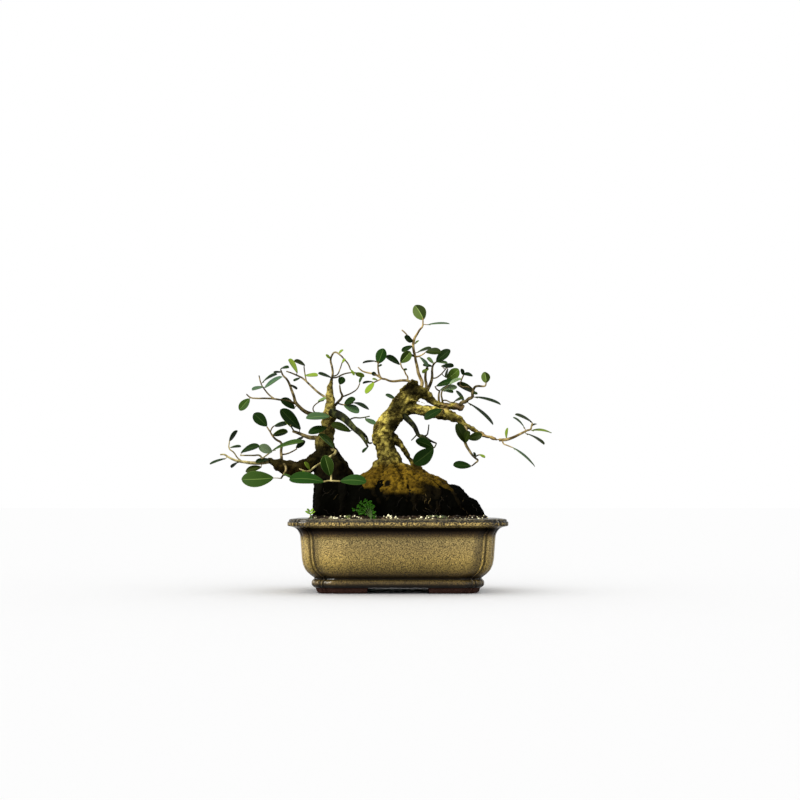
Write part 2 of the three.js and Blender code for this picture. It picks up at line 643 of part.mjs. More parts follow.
// The leafy stems of the left tree
const LEFT_SPRAYS = {
  left_low_spray: [
    [
      [2.4, 0.8, [[-152, 146, -15], [-165, 144, -20], [-175, 144, -22], [-183, 145, -24], [-190, 146, -26],
        [-197, 148, -28], [-203, 151, -30], [-208, 154, -31], [-213, 154, -32]]],
      [1.3, 0.8, [[-165, 144, -20], [-163, 149, -19], [-166, 153, -19], [-172, 153, -20], [-180, 153, -22],
        [-189, 153, -23]]],
      [0.9, 0.8, [[-163, 149, -19], [-157, 153.5, -17], [-151, 158, -16]]],
      [0.9, 0.7, [[-187, 146, -25], [-192, 150, -25], [-197, 157, -26], [-202, 161, -26],
        [-202, 170, -26]]],
    ],
    [
      [-206, 149, -225, 142, 2.6, -8], [-202, 170, -192, 182, 5, 10], [-201, 162, -188, 163, 3, 8],
      [-188, 156, -166, 164, 7, -6], [-155, 155, -167, 165, 12, -12], [-151, 158, -113, 169, 5, -6],
      [-153, 148, -170, 144, 5, -12], [-163, 139, -182, 133, 7, -4], [-190, 145, -199, 138, 3, 10],
    ],
  ],
  left_big_leaf_spray: [
    [[1.7, 1, [[-139, 144, -16], [-135, 141, -24], [-134, 136, -31], [-137, 130, -38],
      [-140, 125.5, -42]]]],
    [[-149, 126, -187, 124, 19, -2]],
  ],
  left_rise_spray: [
    [
      [1.8, 0.9, [[-139, 146, -9], [-140, 158, -1], [-140, 168, 4], [-146, 172, 6], [-150, 176, 7],
        [-153, 181, 8],
        [-157, 187, 8]]],
      [0.8, 0.8, [[-153, 181, 8], [-151, 186, 8], [-149, 188, 8]]],
      [1, 0.8, [[-140, 154, -2], [-133, 155, 2], [-126, 158, 5], [-121, 161, 7]]],
    ],
    [
      [-157, 188, -173, 203, 14, 2], [-148, 188.5, -133, 190, 6, 14], [-150, 177, -132, 181, 8, 10],
      [-122, 162, -111, 170, 7, 8],
    ],
  ],
  left_mid_spray: [
    [
      [3.2, 1.6, [[-88, 171, 6], [-98, 174, 12], [-106, 174.5, 17], [-113, 177, 21], [-120, 180, 25],
        [-126, 182, 28]]],
      [1.1, 0.8, [[-124, 181, 27], [-129, 189, 30]]],
    ],
    [[-129, 188, -136, 199, 4, 4], [-117, 184, -141, 208, 14, -5], [-112, 176, -121, 169, 3.5, 10]],
  ],
  left_upper_spray: [
    [
      [3.2, 1, [[-84, 202, -4], [-95, 202, -8], [-105, 203, -10], [-112, 206, -12], [-118, 211, -14],
        [-123, 217, -16],
        [-125, 224, -17], [-128, 232, -18], [-131, 240, -20], [-134, 245, -21], [-138, 249, -22],
        [-141, 256, -23]]],
      [1.3, 0.8, [[-121, 214, -15], [-130, 218, -20], [-143, 220, -26], [-150, 221, -30],
        [-160, 221.5, -34],
        [-170, 221.5, -37], [-177, 222.5, -38], [-182, 226.5, -38]]],
      [1, 0.7, [[-148, 220.5, -29], [-155, 226, -29], [-160, 232, -28], [-164, 238, -27],
        [-167, 249, -26]]],
      [0.8, 0.7, [[-97, 202, -9], [-102, 209, -14], [-95, 217, -17], [-89, 219, -18]]],
    ],
    [
      [-178, 221, -190, 207, 10, -5],
      [-160, 234, -139, 247, 5, -6], [-163, 240, -145, 250, 3, 10], [-161, 235, -175, 231, 4, -10],
      [-124, 209, -141, 220, 10, -10], [-86, 203, -115, 197, 8, -8],
      [-131, 238, -122, 232, 3, 12],
    ],
  ],
  left_trunk_leaf: [
    [[1.2, 0.9, [[-82, 190, -5], [-83, 188, -12], [-84, 187, -15]]]],
    [[-85, 186.5, -107, 179, 9, -8]],
  ],
  left_front_spray: [
    [
      [1.8, 0.8, [[-82, 160, -7], [-75, 158.5, -17], [-76, 155, -25], [-82, 151, -34], [-92, 144, -43],
        [-100, 139, -49],
        [-107, 134, -54], [-112, 134.5, -57], [-118, 137, -59]]],
      [1.3, 1, [[-82, 151, -34], [-82, 141, -46], [-80, 131, -57], [-80, 122.5, -65]]],
      [1, 1, [[-89, 121.5, -66], [-84, 122.5, -65], [-76, 122.5, -65], [-69, 122, -66]]],
    ],
    [
      [-89, 121, -130, 124, 14, -6], [-69, 122, -38, 121, 12, -6], [-81, 129, -88, 153, 15, -10],
      [-77, 162, -95, 178, 7, -8], [-106, 136, -112, 145, 4, -5],
    ],
  ],
  left_diagonal_spray: [
    [
      [1.5, 0.8, [[-82, 220, 2], [-95, 228, 10], [-105, 237, 16], [-115, 246, 22], [-120, 248.5, 25],
        [-128, 252, 28],
        [-134, 254, 30]]],
      [0.8, 0.7, [[-110, 241.5, 19], [-112, 252, 19], [-113, 260, 18]]],
    ],
    [
      [-121, 252, -132, 268, 6, 10], [-112, 261, -125, 266, 5, -10], [-112, 249, -97, 248, 3, 10],
    ],
  ],
  left_top_spray: [
    [
      [1.5, 0.8, [[-80.5, 243, 0], [-78.5, 250, -1], [-79, 258, -2], [-81, 268, -3], [-79.5, 273, -4],
        [-76, 277, -4],
        [-70, 274, -5], [-65, 269, -6], [-60, 263, -7], [-57, 256, -8]]],
      [0.9, 0.7, [[-78.5, 248, -1], [-73, 250, -4], [-70, 256, -6], [-67, 265, -8]]],
      [1, 0.8, [[-79.5, 246, 0], [-73, 247, 4], [-67, 250, 6], [-60, 252, 8], [-51, 252.5, 10]]],
    ],
    [
      [-80, 246, -96, 251, 3.6, -10], [-51, 252, -41, 247, 6, 10],
    ],
  ],
  left_inner_spray: [
    [
      [2, 0.9, [[-81, 208, 3], [-72, 217, 9], [-67, 224, 12], [-69, 230, 13], [-70, 237, 14]]],
      [1, 0.7, [[-68, 223, 12], [-60, 226, 15], [-54, 229, 18], [-49, 233, 20], [-46, 239, 21]]],
      [1, 0.8, [[-73, 216, 8], [-67, 214, 2], [-62, 214, -1], [-54, 216, -3]]],
    ],
    [
      [-70, 238, -66, 247, 9, 4], [-64, 215.5, -51, 220, 8, -12], [-65, 213, -47, 204, 9, -8],
      [-53, 216, -35, 208, 4, 6],
    ],
  ],
  left_right_spray: [
    [
      [2.8, 1.2, [[-80, 205, -4], [-65, 198, -15], [-57, 190, -21], [-50, 183, -26], [-45, 178, -29],
        [-40, 171, -32],
        [-36, 163, -34]]],
      [1.2, 0.8, [[-56, 189, -22], [-45, 182, -22], [-38, 175, -23], [-35, 168, -26], [-31, 168, -28]]],
      [1, 0.7, [[-61, 194, -18], [-53, 198, -22], [-45, 198, -26], [-34, 200, -30]]],
    ],
    [[-56, 184, -79, 189, 5, -8], [-39, 197, -28, 190, 6, -12]],
  ],
};

// The leafy stems of the right tree
const RIGHT_SPRAYS = {
  right_leader_spray: [
    [
      [2.6, 1.6, [[27, 233, -1], [29, 240, -3], [26.5, 247, -4], [24.5, 252, -5], [23.5, 257, -6],
        [22.5, 262, -6],
        [21.3, 267, -7], [20.5, 272, -7], [19.5, 277, -7]]],
      [2, 2.2, [[20, 274, -7], [18.6, 281, -7], [18.3, 287, -7], [19.3, 292, -7]]],
      [1.6, 0.8, [[18.6, 287, -7], [20, 294, -7], [23, 299, -7], [26, 304, -7], [29.5, 308.5, -7],
        [30, 313, -7],
        [30, 317, -7]]],
      [1, 0.8, [[18, 291, -7], [12, 296.5, -9], [8, 301, -11], [4.5, 304, -12]]],
      [1.2, 0.8, [[21, 271.5, -7], [26, 272.5, -9], [32, 276, -12]]],
    ],
    [
      [30, 317, 25.5, 334.5, 18.6, 15], [36, 310, 62, 311, 2, 0], [17, 290, 7.5, 295.5, 7, -12],
      [17, 284.5, 5, 277.5, 6, -8], [33, 277, 52, 276.5, 8, -6],
      [23, 276.5, 40, 281.5, 3.2, 10], [26, 271, 34.5, 259.5, 4, -10],
    ],
  ],
  right_left_spray: [
    [
      [1.7, 0.9, [[17, 240, -1], [12, 242.5, -6], [5, 243, -10], [0, 242.5, -13], [-5, 242, -16],
        [-10, 242.5, -19],
        [-15, 244.5, -22], [-20, 245.8, -25], [-22.5, 250, -27], [-23.5, 254, -28], [-24, 258, -29],
        [-24, 263, -30]]],
      [1.5, 0.7, [[-20, 245.8, -25], [-25, 249, -27], [-30, 251, -29], [-37, 252.5, -31], [-43, 254.5, -33],
        [-48, 259, -35]]],
      [0.9, 0.8, [[-19, 245.5, -25], [-25, 242.5, -27], [-29, 240.5, -29]]],
      [1, 0.8, [[11.5, 242.5, -6], [11.5, 247.5, -8], [9.5, 250.5, -9], [7.5, 255, -11], [4.5, 259, -12],
        [3, 264, -12]]],
    ],
    [
      [-24, 263.5, -17, 281.5, 13, 8], [-26, 266, -42, 263.5, 2.2, 8], [-29, 240.5, -38, 227, 6.5, -8],
      [-30, 241, -42, 239, 2.4, 8], [2, 262, -15, 271.5, 7, -8],
      [3, 264.5, 14.5, 278, 9.5, 10],
    ],
  ],
  right_crest_spray: [
    [
      [1.9, 1.3, [[34, 231, 4], [34, 238, 5], [33, 244, 6], [33, 250, 7], [34, 256, 9], [36, 261, 11]]],
      [2.2, 1, [[34, 229, 4], [38, 237, 8], [40, 242, 10], [41, 248, 12], [41, 255, 13], [42, 261, 14],
        [45, 265, 15]]],
      [0.9, 0.8, [[41, 246, 11], [45, 246, 14], [50, 249, 17], [55, 254, 20], [58, 258, 22]]],
    ],
    [
      [46, 265.5, 63, 279.5, 11, -6], [45, 265, 59, 263, 3, -10], [43, 263, 34.5, 269.5, 4, 8],
      [41, 260, 30, 261, 4, -8], [58, 257, 75, 246.5, 10.5, -5], [52, 260, 67, 260, 5.5, 8],
      [60, 257, 58.5, 246.5, 5, -9],
    ],
  ],
  right_mid_spray: [
    [
      [1.7, 1, [[50, 213, 9], [49, 220, 12], [49, 226, 13], [50, 231, 14]]],
      [1.4, 0.9, [[54, 213, 9], [53, 220, 6], [52, 226, 3], [53, 231, 1]]],
      [0.9, 0.8, [[50, 230, 14], [46, 233, 14], [44.5, 236, 13]]],
      [0.9, 0.7, [[53, 219, 6], [58, 219, 3], [62, 217, 1], [68, 216.5, 0]]],
    ],
    [
      [51, 231.5, 71, 234.5, 7.5, -4], [46, 236, 67, 242, 6, -6], [54, 232, 77, 247.5, 3, 4],
      [67, 217, 79, 221.5, 3, -10], [55, 230, 66, 228, 3, -10],
    ],
  ],
  right_knot_spray: [
    [
      [2.6, 0.9, [[73, 211, 9], [77, 216.5, 7], [81, 217.5, 6], [85, 221, 4], [89, 223, 2], [89.5, 228, 1],
        [90.5, 232, 0], [93, 235.5, -1], [97, 236.3, -2], [101, 236, -3], [104.5, 236.5, -4],
        [105.8, 240, -5]]],
      [1, 0.8, [[90.5, 231.5, 0], [84, 235, -4], [75, 237, -8], [76, 243, -9], [79, 250, -10]]],
    ],
    [
      [90, 233, 71, 236, 6.5, 8],
      [106, 240.5, 104, 253.5, 11, 13], [92, 222.8, 123, 213.5, 2.8, -4],
      [84, 216, 113.5, 189.5, 3, -8], [79, 217, 70, 230.5, 4, 6],
    ],
  ],
  right_hanging_spray: [
    [
      [2.2, 0.8, [[81, 189, -20], [81.5, 181, -27], [80, 173, -31], [81.5, 165.5, -34], [85, 159.5, -36],
        [89, 153.5, -38], [93, 149.5, -40], [95.5, 147.2, -41], [92, 143.5, -42], [88.5, 140.5, -42]]],
      [0.8, 0.8, [[92, 150.5, -40], [95, 153, -41], [98.5, 153.8, -42]]],
    ],
    [
      [80, 184, 71, 190, 6, -6], [81, 178, 69, 186, 7, -8], [83, 180, 100, 177, 9, -6],
        [79.5, 171, 86, 182, 6.5, -10],
      [87.5, 140, 66, 141.5, 9, -4],
      [81, 168, 76, 178, 4.5, 8],
    ],
  ],
  right_tip_spray: [
    [
      [1.9, 0.9, [[121, 171.5, -29.5], [130, 172, -30], [135, 173.5, -29], [140, 175.5, -28],
        [145, 178, -27],
        [150, 180.5, -26], [155, 183, -25], [159, 184.5, -24], [160, 188, -24], [161, 192, -24]]],
      [0.9, 0.7, [[125, 171, -30], [126.5, 167, -32], [131, 165, -34], [137, 162.5, -36]]],
    ],
    [
      [137, 162.5, 163.5, 139.5, 1.8, -6], [153, 179, 175, 166, 2.8, -10],
        [161, 192, 140.5, 201.5, 3.2, -10],
      [152, 185, 138, 198, 1.5, 10], [160, 182.5, 184, 179.5, 2, 6], [130, 174, 132, 186, 3, -3],
    ],
  ],
  right_bough_leaf: [
    [[1.3, 0.9, [[54, 203, -14], [54.5, 206, -22], [54, 208, -26]]]],
    [[53, 208, 32, 196, 9.5, -5]],
  ],
  right_lower_spray: [
    [
      [4.2, 0.9, [[5, 203, -3], [11, 197, -6], [16, 192, -9], [20, 187, -12], [22.5, 181.5, -14],
        [25, 177, -16],
        [30, 175.8, -19], [35, 173, -22], [40, 170, -25], [46, 167.5, -28]]],
      [1, 0.7, [[23.5, 179, -15], [20, 175, -17], [16, 171, -18]]],
      [1, 0.7, [[29, 176, -18], [34.5, 177.5, -19], [36, 182, -19], [37, 190, -20]]],
      [0.8, 0.8, [[46, 167.3, -28], [44.5, 164, -31], [43, 162, -33]]],
    ],
    [[42.5, 162, 21, 170.5, 11, 8], [42.5, 161.5, 19, 143, 18, -4]],
  ],
  right_trunk_leaf: [
    [[1, 0.8, [[3, 220, -6], [-4, 222, -11]]]],
    [[-4.5, 222, -15, 225, 4.6, -9]],
  ],
};

// A small fern that has seeded itself in front of the ball, and a seedling at the left
const FERN_PLACE = [-37, -66];
const SEEDLING_PLACE = [-96, -50];
const SOIL_LEVEL = 82.5;
const SOIL_BANK = 7;
const PLUG_DEPTH = 6;
const FRONDS = 5;

function fernSolid() {
  const draw = randomDraws(21);
  const [x, y] = FERN_PLACE;
  const ground = soilTop(x, y);
  const plug = limb(
    [new THREE.Vector3(x, y, ground - PLUG_DEPTH), new THREE.Vector3(x, y, ground + 6)], [1.8, 1.6], 6,
  );
  const fronds = [];
  for (let frond = 0; frond < FRONDS; frond += 1) {
    const angle = Math.PI * (frond / (FRONDS - 1)) + 0.3 * (draw() - 0.5);
    const reach = 9 + 4 * draw();
    const root = new THREE.Vector3(x + Math.cos(angle), y, ground + 5);
    const forward = -3 - 3 * draw();
    const height = 11 + 14 * Math.sin(angle);
    const tip = new THREE.Vector3(x + reach * Math.cos(angle), y + forward, ground + height);
    fronds.push(leafSolid(root, root, tip, FLAT_WIDTH, true, FROND_OUTLINE));
  }
  return unite([plug, ...fronds]);
}

function seedlingSolid() {
  const [x, y] = SEEDLING_PLACE;
  const ground = soilTop(x, y);
  const at = (dx, dz) => new THREE.Vector3(x + dx, y, ground + dz);
  const stem = limb([at(0, -PLUG_DEPTH), at(0.5, 4), at(-1, 10)], [0.9, 0.8, 0.7], 4);
  const leaves = [[-7, 15], [5, 15]].map(([dx, dz]) => {
    const root = at(-1, 9.5);
    const tip = at(dx, dz).setY(y - 2);
    return leafSolid(root, root, tip, 3.6, true, SMALL_OUTLINE);
  });
  return unite([stem, ...leaves]);
}

// The height of the soil: nearly level by the rim and banked up against the ball
function soilTop(x, y) {
  const { half } = ballSection(THREE.MathUtils.clamp(x, -101, 104));
  const outX = Math.max(0, -101 - x, x - 104);
  const away = Math.hypot(Math.max(0, Math.abs(y) - half), outX);
  return SOIL_LEVEL + SOIL_BANK * Math.exp(-away / 9) + 0.9 * bumps(x, y, 0, 45);
}

function soilBlanket() {
  const columns = 10;
  const rows = 7;
  const box = new THREE.BoxGeometry(RIM_WIDTH, RIM_DEPTH, 1, columns, rows, 1);
  const position = box.attributes.position;
  for (let vertex = 0; vertex < position.count; vertex += 1) {
    const x = position.getX(vertex);
    const y = position.getY(vertex);
    position.setZ(vertex, position.getZ(vertex) > 0 ? soilTop(x, y) : 1);
  }
  return solidOf(box);
}

// Grains of white perlite and brown bark, half sunk in the soil by a seeded draw
const GRAINS = 16;

function grainSolids() {
  const draw = randomDraws(5);
  const grains = [];
  while (grains.length < GRAINS) {
    const x = (draw() - 0.5) * 206;
    const y = (draw() - 0.5) * 142;
    const radius = 1.5 + 0.9 * draw();
    const clearOfBall = x < -101 || x > 104 || Math.abs(y) > ballSection(x).half + 1;
    if (clearOfBall) {
      const grain = new THREE.OctahedronGeometry(radius, 0);
      grain.rotateX(draw() * 3);
      grain.rotateZ(draw() * 3);
      grain.translate(x, y, soilTop(x, y) + 0.5);
      grains.push(solidOf(grain));
    }
  }
  return grains;
}

function soilSolid(ball, fittings) {
  const filled = insideSolid(CLEARANCE, POT_HEIGHT + 12).intersect(soilBlanket());
  const kept = unite([filled, ...grainSolids()]).intersect(insideSolid(CLEARANCE, POT_HEIGHT + 12));
  return mainBody(kept.subtract(unite([ball, ...fittings])));
}

// Put together. What touches a neighbour is cut by that neighbour grown by the clearance.
const tree = new THREE.Group();

function addNode(name, solid, finish) {
  const mesh = new THREE.Mesh(geometryOf(solid), new THREE.MeshStandardMaterial(COLOURS[finish]));
  mesh.name = name;
  tree.add(mesh);
}

const ball = ballSolid(0);
const grownBall = ballSolid(CLEARANCE);
const leftWood = unite([leftTrunkSolid(0), leftRootsSolid(0)]);
const grownLeftWood = unite([leftTrunkSolid(CLEARANCE), leftRootsSolid(CLEARANCE)]);
const rightWood = unite([rightTrunkSolid(0), skirtSolid(0), runningRootsSolid(0)]);
const grownRightWood = unite([
  rightTrunkSolid(CLEARANCE), skirtSolid(CLEARANCE), runningRootsSolid(CLEARANCE),
]);
const rightTrunk = mainBody(rightWood.subtract(grownBall));
const leftTrunk = mainBody(leftWood.subtract(grownBall).subtract(grownRightWood));
const fern = mainBody(fernSolid().subtract(grownBall));
const seedling = seedlingSolid();

// A round hole in the soil for a weed's root, from just under it to clear of the soil
const plugHole = ([x, y], radius) => {
  const bottom = new THREE.Vector3(x, y, soilTop(x, y) - PLUG_DEPTH - CLEARANCE);
  const top = bottom.clone().setZ(bottom.z + 3 * PLUG_DEPTH);
  return limb([bottom, top], [radius, radius], 12);
};
const roomSide = MESH_SIDE + 2 * CLEARANCE;
const roomHeight = 2 * (MESH_THICKNESS + 2 * CLEARANCE);
const meshRoom = [-DRAIN_PLACE, DRAIN_PLACE].map((x) => (
  boxSolid(roomSide, roomSide, roomHeight, x, 0, FLOOR_TOP)
));

addNode('pot', potSolid(), 'glaze');
addNode('drainage_mesh_left', drainageMesh(-DRAIN_PLACE), 'mesh');
addNode('drainage_mesh_right', drainageMesh(DRAIN_PLACE), 'mesh');
const weedHoles = [plugHole(FERN_PLACE, 3.2), plugHole(SEEDLING_PLACE, 1.9)];
const fittings = [grownLeftWood, grownRightWood, ...meshRoom, ...weedHoles];
addNode('soil', soilSolid(grownBall, fittings), 'soil');
addNode('root_ball', ball, 'rootBall');
addNode('left_trunk', leftTrunk, 'darkBark');
addNode('right_trunk', rightTrunk, 'bark');
addNode('fern_weed', fern, 'weed');
addNode('seedling_weed', seedling, 'weed');
for (const [name, [twigs, leaves]] of Object.entries(LEFT_SPRAYS)) {
  addNode(name, mainBody(spraySolid(twigs, leaves).subtract(grownLeftWood)), 'leaf');
}
for (const [name, [twigs, leaves]] of Object.entries(RIGHT_SPRAYS)) {
  addNode(name, mainBody(spraySolid(twigs, leaves).subtract(grownRightWood)), 'leaf');
}

// The part's origin is under the middle of its whole extent, on the surface it stands on.
const extent = new THREE.Box3().setFromObject(tree);
const middle = extent.getCenter(new THREE.Vector3());
tree.position.set(-middle.x, -middle.y, -extent.min.z);

export default tree;
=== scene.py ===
# %% [markdown]
# # A two-trunk ficus bonsai in a glazed pot
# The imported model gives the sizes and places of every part. Each cell below dresses one
# part of the real thing: fired clay under glaze, bark, leaves, soil and roots. The plant was
# laid out from one photograph, so the twigs are written as they are seen from the front, and
# a small formula carries each one to its own depth.

import math
import random

import bmesh
import bpy
from mathutils import Matrix, Vector, noise


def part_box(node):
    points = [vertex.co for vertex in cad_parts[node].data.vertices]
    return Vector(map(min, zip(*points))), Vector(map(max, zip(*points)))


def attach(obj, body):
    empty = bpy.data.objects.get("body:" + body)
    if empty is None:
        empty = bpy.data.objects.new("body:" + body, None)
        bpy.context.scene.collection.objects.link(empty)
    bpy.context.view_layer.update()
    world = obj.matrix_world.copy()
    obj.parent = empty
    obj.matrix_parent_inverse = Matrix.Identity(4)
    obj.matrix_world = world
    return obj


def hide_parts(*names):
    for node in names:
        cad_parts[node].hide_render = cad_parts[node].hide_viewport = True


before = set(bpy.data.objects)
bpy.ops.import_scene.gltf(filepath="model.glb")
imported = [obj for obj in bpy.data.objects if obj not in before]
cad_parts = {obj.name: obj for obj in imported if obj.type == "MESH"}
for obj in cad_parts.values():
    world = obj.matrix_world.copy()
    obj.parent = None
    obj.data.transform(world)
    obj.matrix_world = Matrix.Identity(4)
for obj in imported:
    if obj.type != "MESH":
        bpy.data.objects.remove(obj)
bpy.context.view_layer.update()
bpy.ops.object.select_all(action="DESELECT")
print("nodes in the frame:", len(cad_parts))

# %% [markdown]
# ## Where things are
# All readings below are millimetres from the middle of the pot. The frame's own origin lies
# under the middle of the whole tree, so the pot's box says how far to the side the pot
# stands. A twig is read on the upright plane through the pot's middle, as the eye sees it,
# and place() slides it along its line of sight to the depth that it really has. Heights are
# read from a line a little above the surface that the pot stands on.

# %% Placing by sight line
MM = 0.001
EYE_X = 2.4
EYE_DISTANCE = 1900
EYE_HEIGHT = 103
READING_RISE = 8
pot_low, pot_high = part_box("pot")
POT_MIDDLE = (pot_low.x + pot_high.x) / 2


def at(x, y, z):
    """A point in millimetres from the pot's middle, as a place in the scene."""
    return Vector((x * MM + POT_MIDDLE, y * MM, z * MM))


def place(x, z, y):
    """The point seen at x, z on the pot's middle plane, at depth y."""
    reach = (y + EYE_DISTANCE) / EYE_DISTANCE
    height = EYE_HEIGHT + (z + READING_RISE - EYE_HEIGHT) * reach
    return at(EYE_X + (x - EYE_X) * reach, y, height)


EYE = at(EYE_X, -EYE_DISTANCE, EYE_HEIGHT)
print("pot's middle at x =", round(POT_MIDDLE / MM, 2), "mm")

# %% [markdown]
# ## Camera, light and floor
# The photograph was taken from just above the height of the rim, looking up a little, so the
# rim's top is nearly edge-on and the soil's grains stand up behind it. A long lens keeps the
# pot's sides nearly upright. One soft lamp from the upper left makes the bright left flanks
# of the trunks and the dark undersides. A lower one, like a window at the left, draws the
# upright gleams on the corner lobes, and a weak one answers it from the right. A white world
# and floor fill the rest, as white card does in a studio. The lamps leave the floor out, as
# black flags would: a lit white floor would shine up under the rim and leaves.

# %% Camera
LENS = 71.4
SENSOR = 36
CLIP_START = 0.05
CLIP_END = 100
AIM_HEIGHT = 227.5
LOOK_AT = at(EYE_X, 0, AIM_HEIGHT)

bpy.ops.object.camera_add(location=EYE)
camera = bpy.context.object
camera.data.lens = LENS
camera.data.sensor_width = SENSOR
camera.data.clip_start = CLIP_START
camera.data.clip_end = CLIP_END
camera.rotation_euler = (LOOK_AT - EYE).to_track_quat("-Z", "Y").to_euler()
bpy.context.scene.camera = camera
bpy.context.scene.view_settings.view_transform = "Standard"

# %% Lamps, world and floor
WORLD_COLOUR = (1.0, 1.0, 1.0, 1)
WORLD_STRENGTH = 1.0
FLOOR_SIZE = 80
FLOOR_DROP = 0.3 * MM
WARM_WHITE = (1.0, 0.97, 0.9)
WARMER_WHITE = (1.0, 0.95, 0.9)
LAMP_AIM = Vector((0, 0, 0.15))


def soft_lamp(name, spot, width, height, watts, colour):
    """An oblong soft lamp at spot that shines on the tree."""
    bpy.ops.object.light_add(type="AREA", location=spot)
    lamp = bpy.context.object
    lamp.name = name
    lamp.data.shape = "RECTANGLE"
    lamp.data.size = width
    lamp.data.size_y = height
    lamp.data.energy = watts
    lamp.data.color = colour
    lamp.rotation_euler = (LAMP_AIM - spot).to_track_quat("-Z", "Y").to_euler()
    return lamp


lamps = [
    soft_lamp("key_lamp", Vector((-1.1, -0.9, 1.7)), 0.6, 0.6, 92, WARM_WHITE),
    soft_lamp("window_lamp", Vector((-1.25, -0.95, 0.66)), 0.7, 0.5, 27, WARM_WHITE),
    soft_lamp("right_lamp", Vector((1.5, -0.9, 0.3)), 0.5, 0.5, 4, WARMER_WHITE),
]

world = bpy.data.worlds.new("studio_white")
bpy.context.scene.world = world
world.use_nodes = True
world.node_tree.nodes["Background"].inputs["Color"].default_value = WORLD_COLOUR
world.node_tree.nodes["Background"].inputs["Strength"].default_value = WORLD_STRENGTH

bpy.ops.mesh.primitive_plane_add(size=FLOOR_SIZE, location=(0, 0, -FLOOR_DROP))
floor = bpy.context.object
floor.name = "floor"

unlit_by_lamps = bpy.data.collections.new("unlit_by_lamps")
unlit_by_lamps.objects.link(floor)
unlit_by_lamps.collection_objects[0].light_linking.link_state = "EXCLUDE"
for lamp in lamps:
    lamp.light_linking.receiver_collection = unlit_by_lamps
print("lamps:", [lamp.name for lamp in lamps])

# %% [markdown]
# ## Small helpers
# Colours are written as in a paint program, in sRGB hex, and one function turns them into
# the linear values that a shader needs. One function adds a node with its settings and
# links, so a material reads as a short list of what it is made of.

# %% Colours, nodes and selection
def rgb(hex_code):
    """An sRGB hex colour as linear red, green, blue and full alpha."""
    def linear(value):
        return value / 12.92 if value <= 0.04045 else ((value + 0.055) / 1.055) ** 2.4

    parts = [int(hex_code[i:i + 2], 16) / 255 for i in (1, 3, 5)]
    return (*[linear(part) for part in parts], 1.0)


def add_node(tree, kind, inputs=None, stops=None, **settings):
    """A node of that kind, with its settings, its ramp stops, and values or links for inputs."""
    made = tree.nodes.new(kind)
    for name, value in settings.items():
        setattr(made, name, value)
    for socket, value in (inputs or {}).items():
        if isinstance(value, bpy.types.NodeSocket):
            tree.links.new(value, made.inputs[socket])
        else:
            made.inputs[socket].default_value = value
    for number, (position, colour) in enumerate(stops or []):
        marks = made.color_ramp.elements
        mark = marks[number] if number < 2 else marks.new(position)
        mark.position = position
        mark.color = rgb(colour)
    return made


def new_material(name):
    """A material with an empty Principled shader, and its node tree."""
    material = bpy.data.materials.new(name)
    material.use_nodes = True
    return material, material.node_tree, material.node_tree.nodes["Principled BSDF"]


def speckled_material(name, patch, detail, stops, roughness, specular=0.5):
    """A dull material whose tone follows one noise, with patches of that size in millimetres."""
    material, tree, shader = new_material(name)
    where = add_node(tree, "ShaderNodeTexCoord").outputs["Object"]
    patches = add_node(
        tree, "ShaderNodeTexNoise", {"Vector": where, "Scale": 1 / (patch * MM), "Detail": detail},
    )
    tone = add_node(tree, "ShaderNodeValToRGB", {0: patches.outputs["Fac"]}, stops=stops)
    tree.links.new(tone.outputs[0], shader.inputs["Base Color"])
    shader.inputs["Roughness"].default_value = roughness
    shader.inputs["Specular IOR Level"].default_value = specular
    return material


def choose(*objects):
    """Select only these, and make the first one active."""
    bpy.ops.object.select_all(action="DESELECT")
    for obj in objects:
        obj.select_set(True)
    bpy.context.view_layer.objects.active = objects[0]


def apply_modifier(obj, kind, **settings):
    """Add a modifier with these settings and apply it."""
    modifier = obj.modifiers.new(kind.lower(), kind)
    for name, value in settings.items():
        setattr(modifier, name, value)
    choose(obj)
    bpy.ops.object.modifier_apply(modifier=modifier.name)


def hollows_of(mesh, rounds, steepest=math.inf):
    """How deep each point lies under its calmed surroundings, in millimetres: above 0 in a hollow.

    Edges that rise by more than steepest are left out.
    """
    links = [[] for _ in mesh.vertices]
    for edge in mesh.edges:
        a, b = edge.vertices
        if abs(mesh.vertices[a].co.z - mesh.vertices[b].co.z) <= steepest:
            links[a].append(b)
            links[b].append(a)
    spots = [vertex.co.copy() for vertex in mesh.vertices]
    for _ in range(rounds):
        spots = [
            sum((spots[n] for n in near), Vector()) / len(near) if near else spot
            for spot, near in zip(spots, links)
        ]
    return [(calm - vertex.co).dot(vertex.normal) / MM for vertex, calm in zip(mesh.vertices, spots)]


def settle(obj, name, node, slot, *materials):
    """Name a finished piece, let it stand for its node, and give it its finish."""
    obj.name = name
    obj.data.name = name
    obj.data.materials.clear()
    for material in materials:
        obj.data.materials.append(material)
    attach(obj, "root")
    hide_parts(node)
    print(name, "faces:", len(obj.data.polygons))
    return obj


# %% [markdown]
# The floor is plain matt paint, so that it shows no more than a soft shadow.

# %% Floor finish
floor_paint, tree, shader = new_material("matt_floor_paint")
shader.inputs["Base Color"].default_value = rgb("#FDFDFD")
shader.inputs["Roughness"].default_value = 1.0
shader.inputs["Specular IOR Level"].default_value = 0.0
floor.data.materials.append(floor_paint)
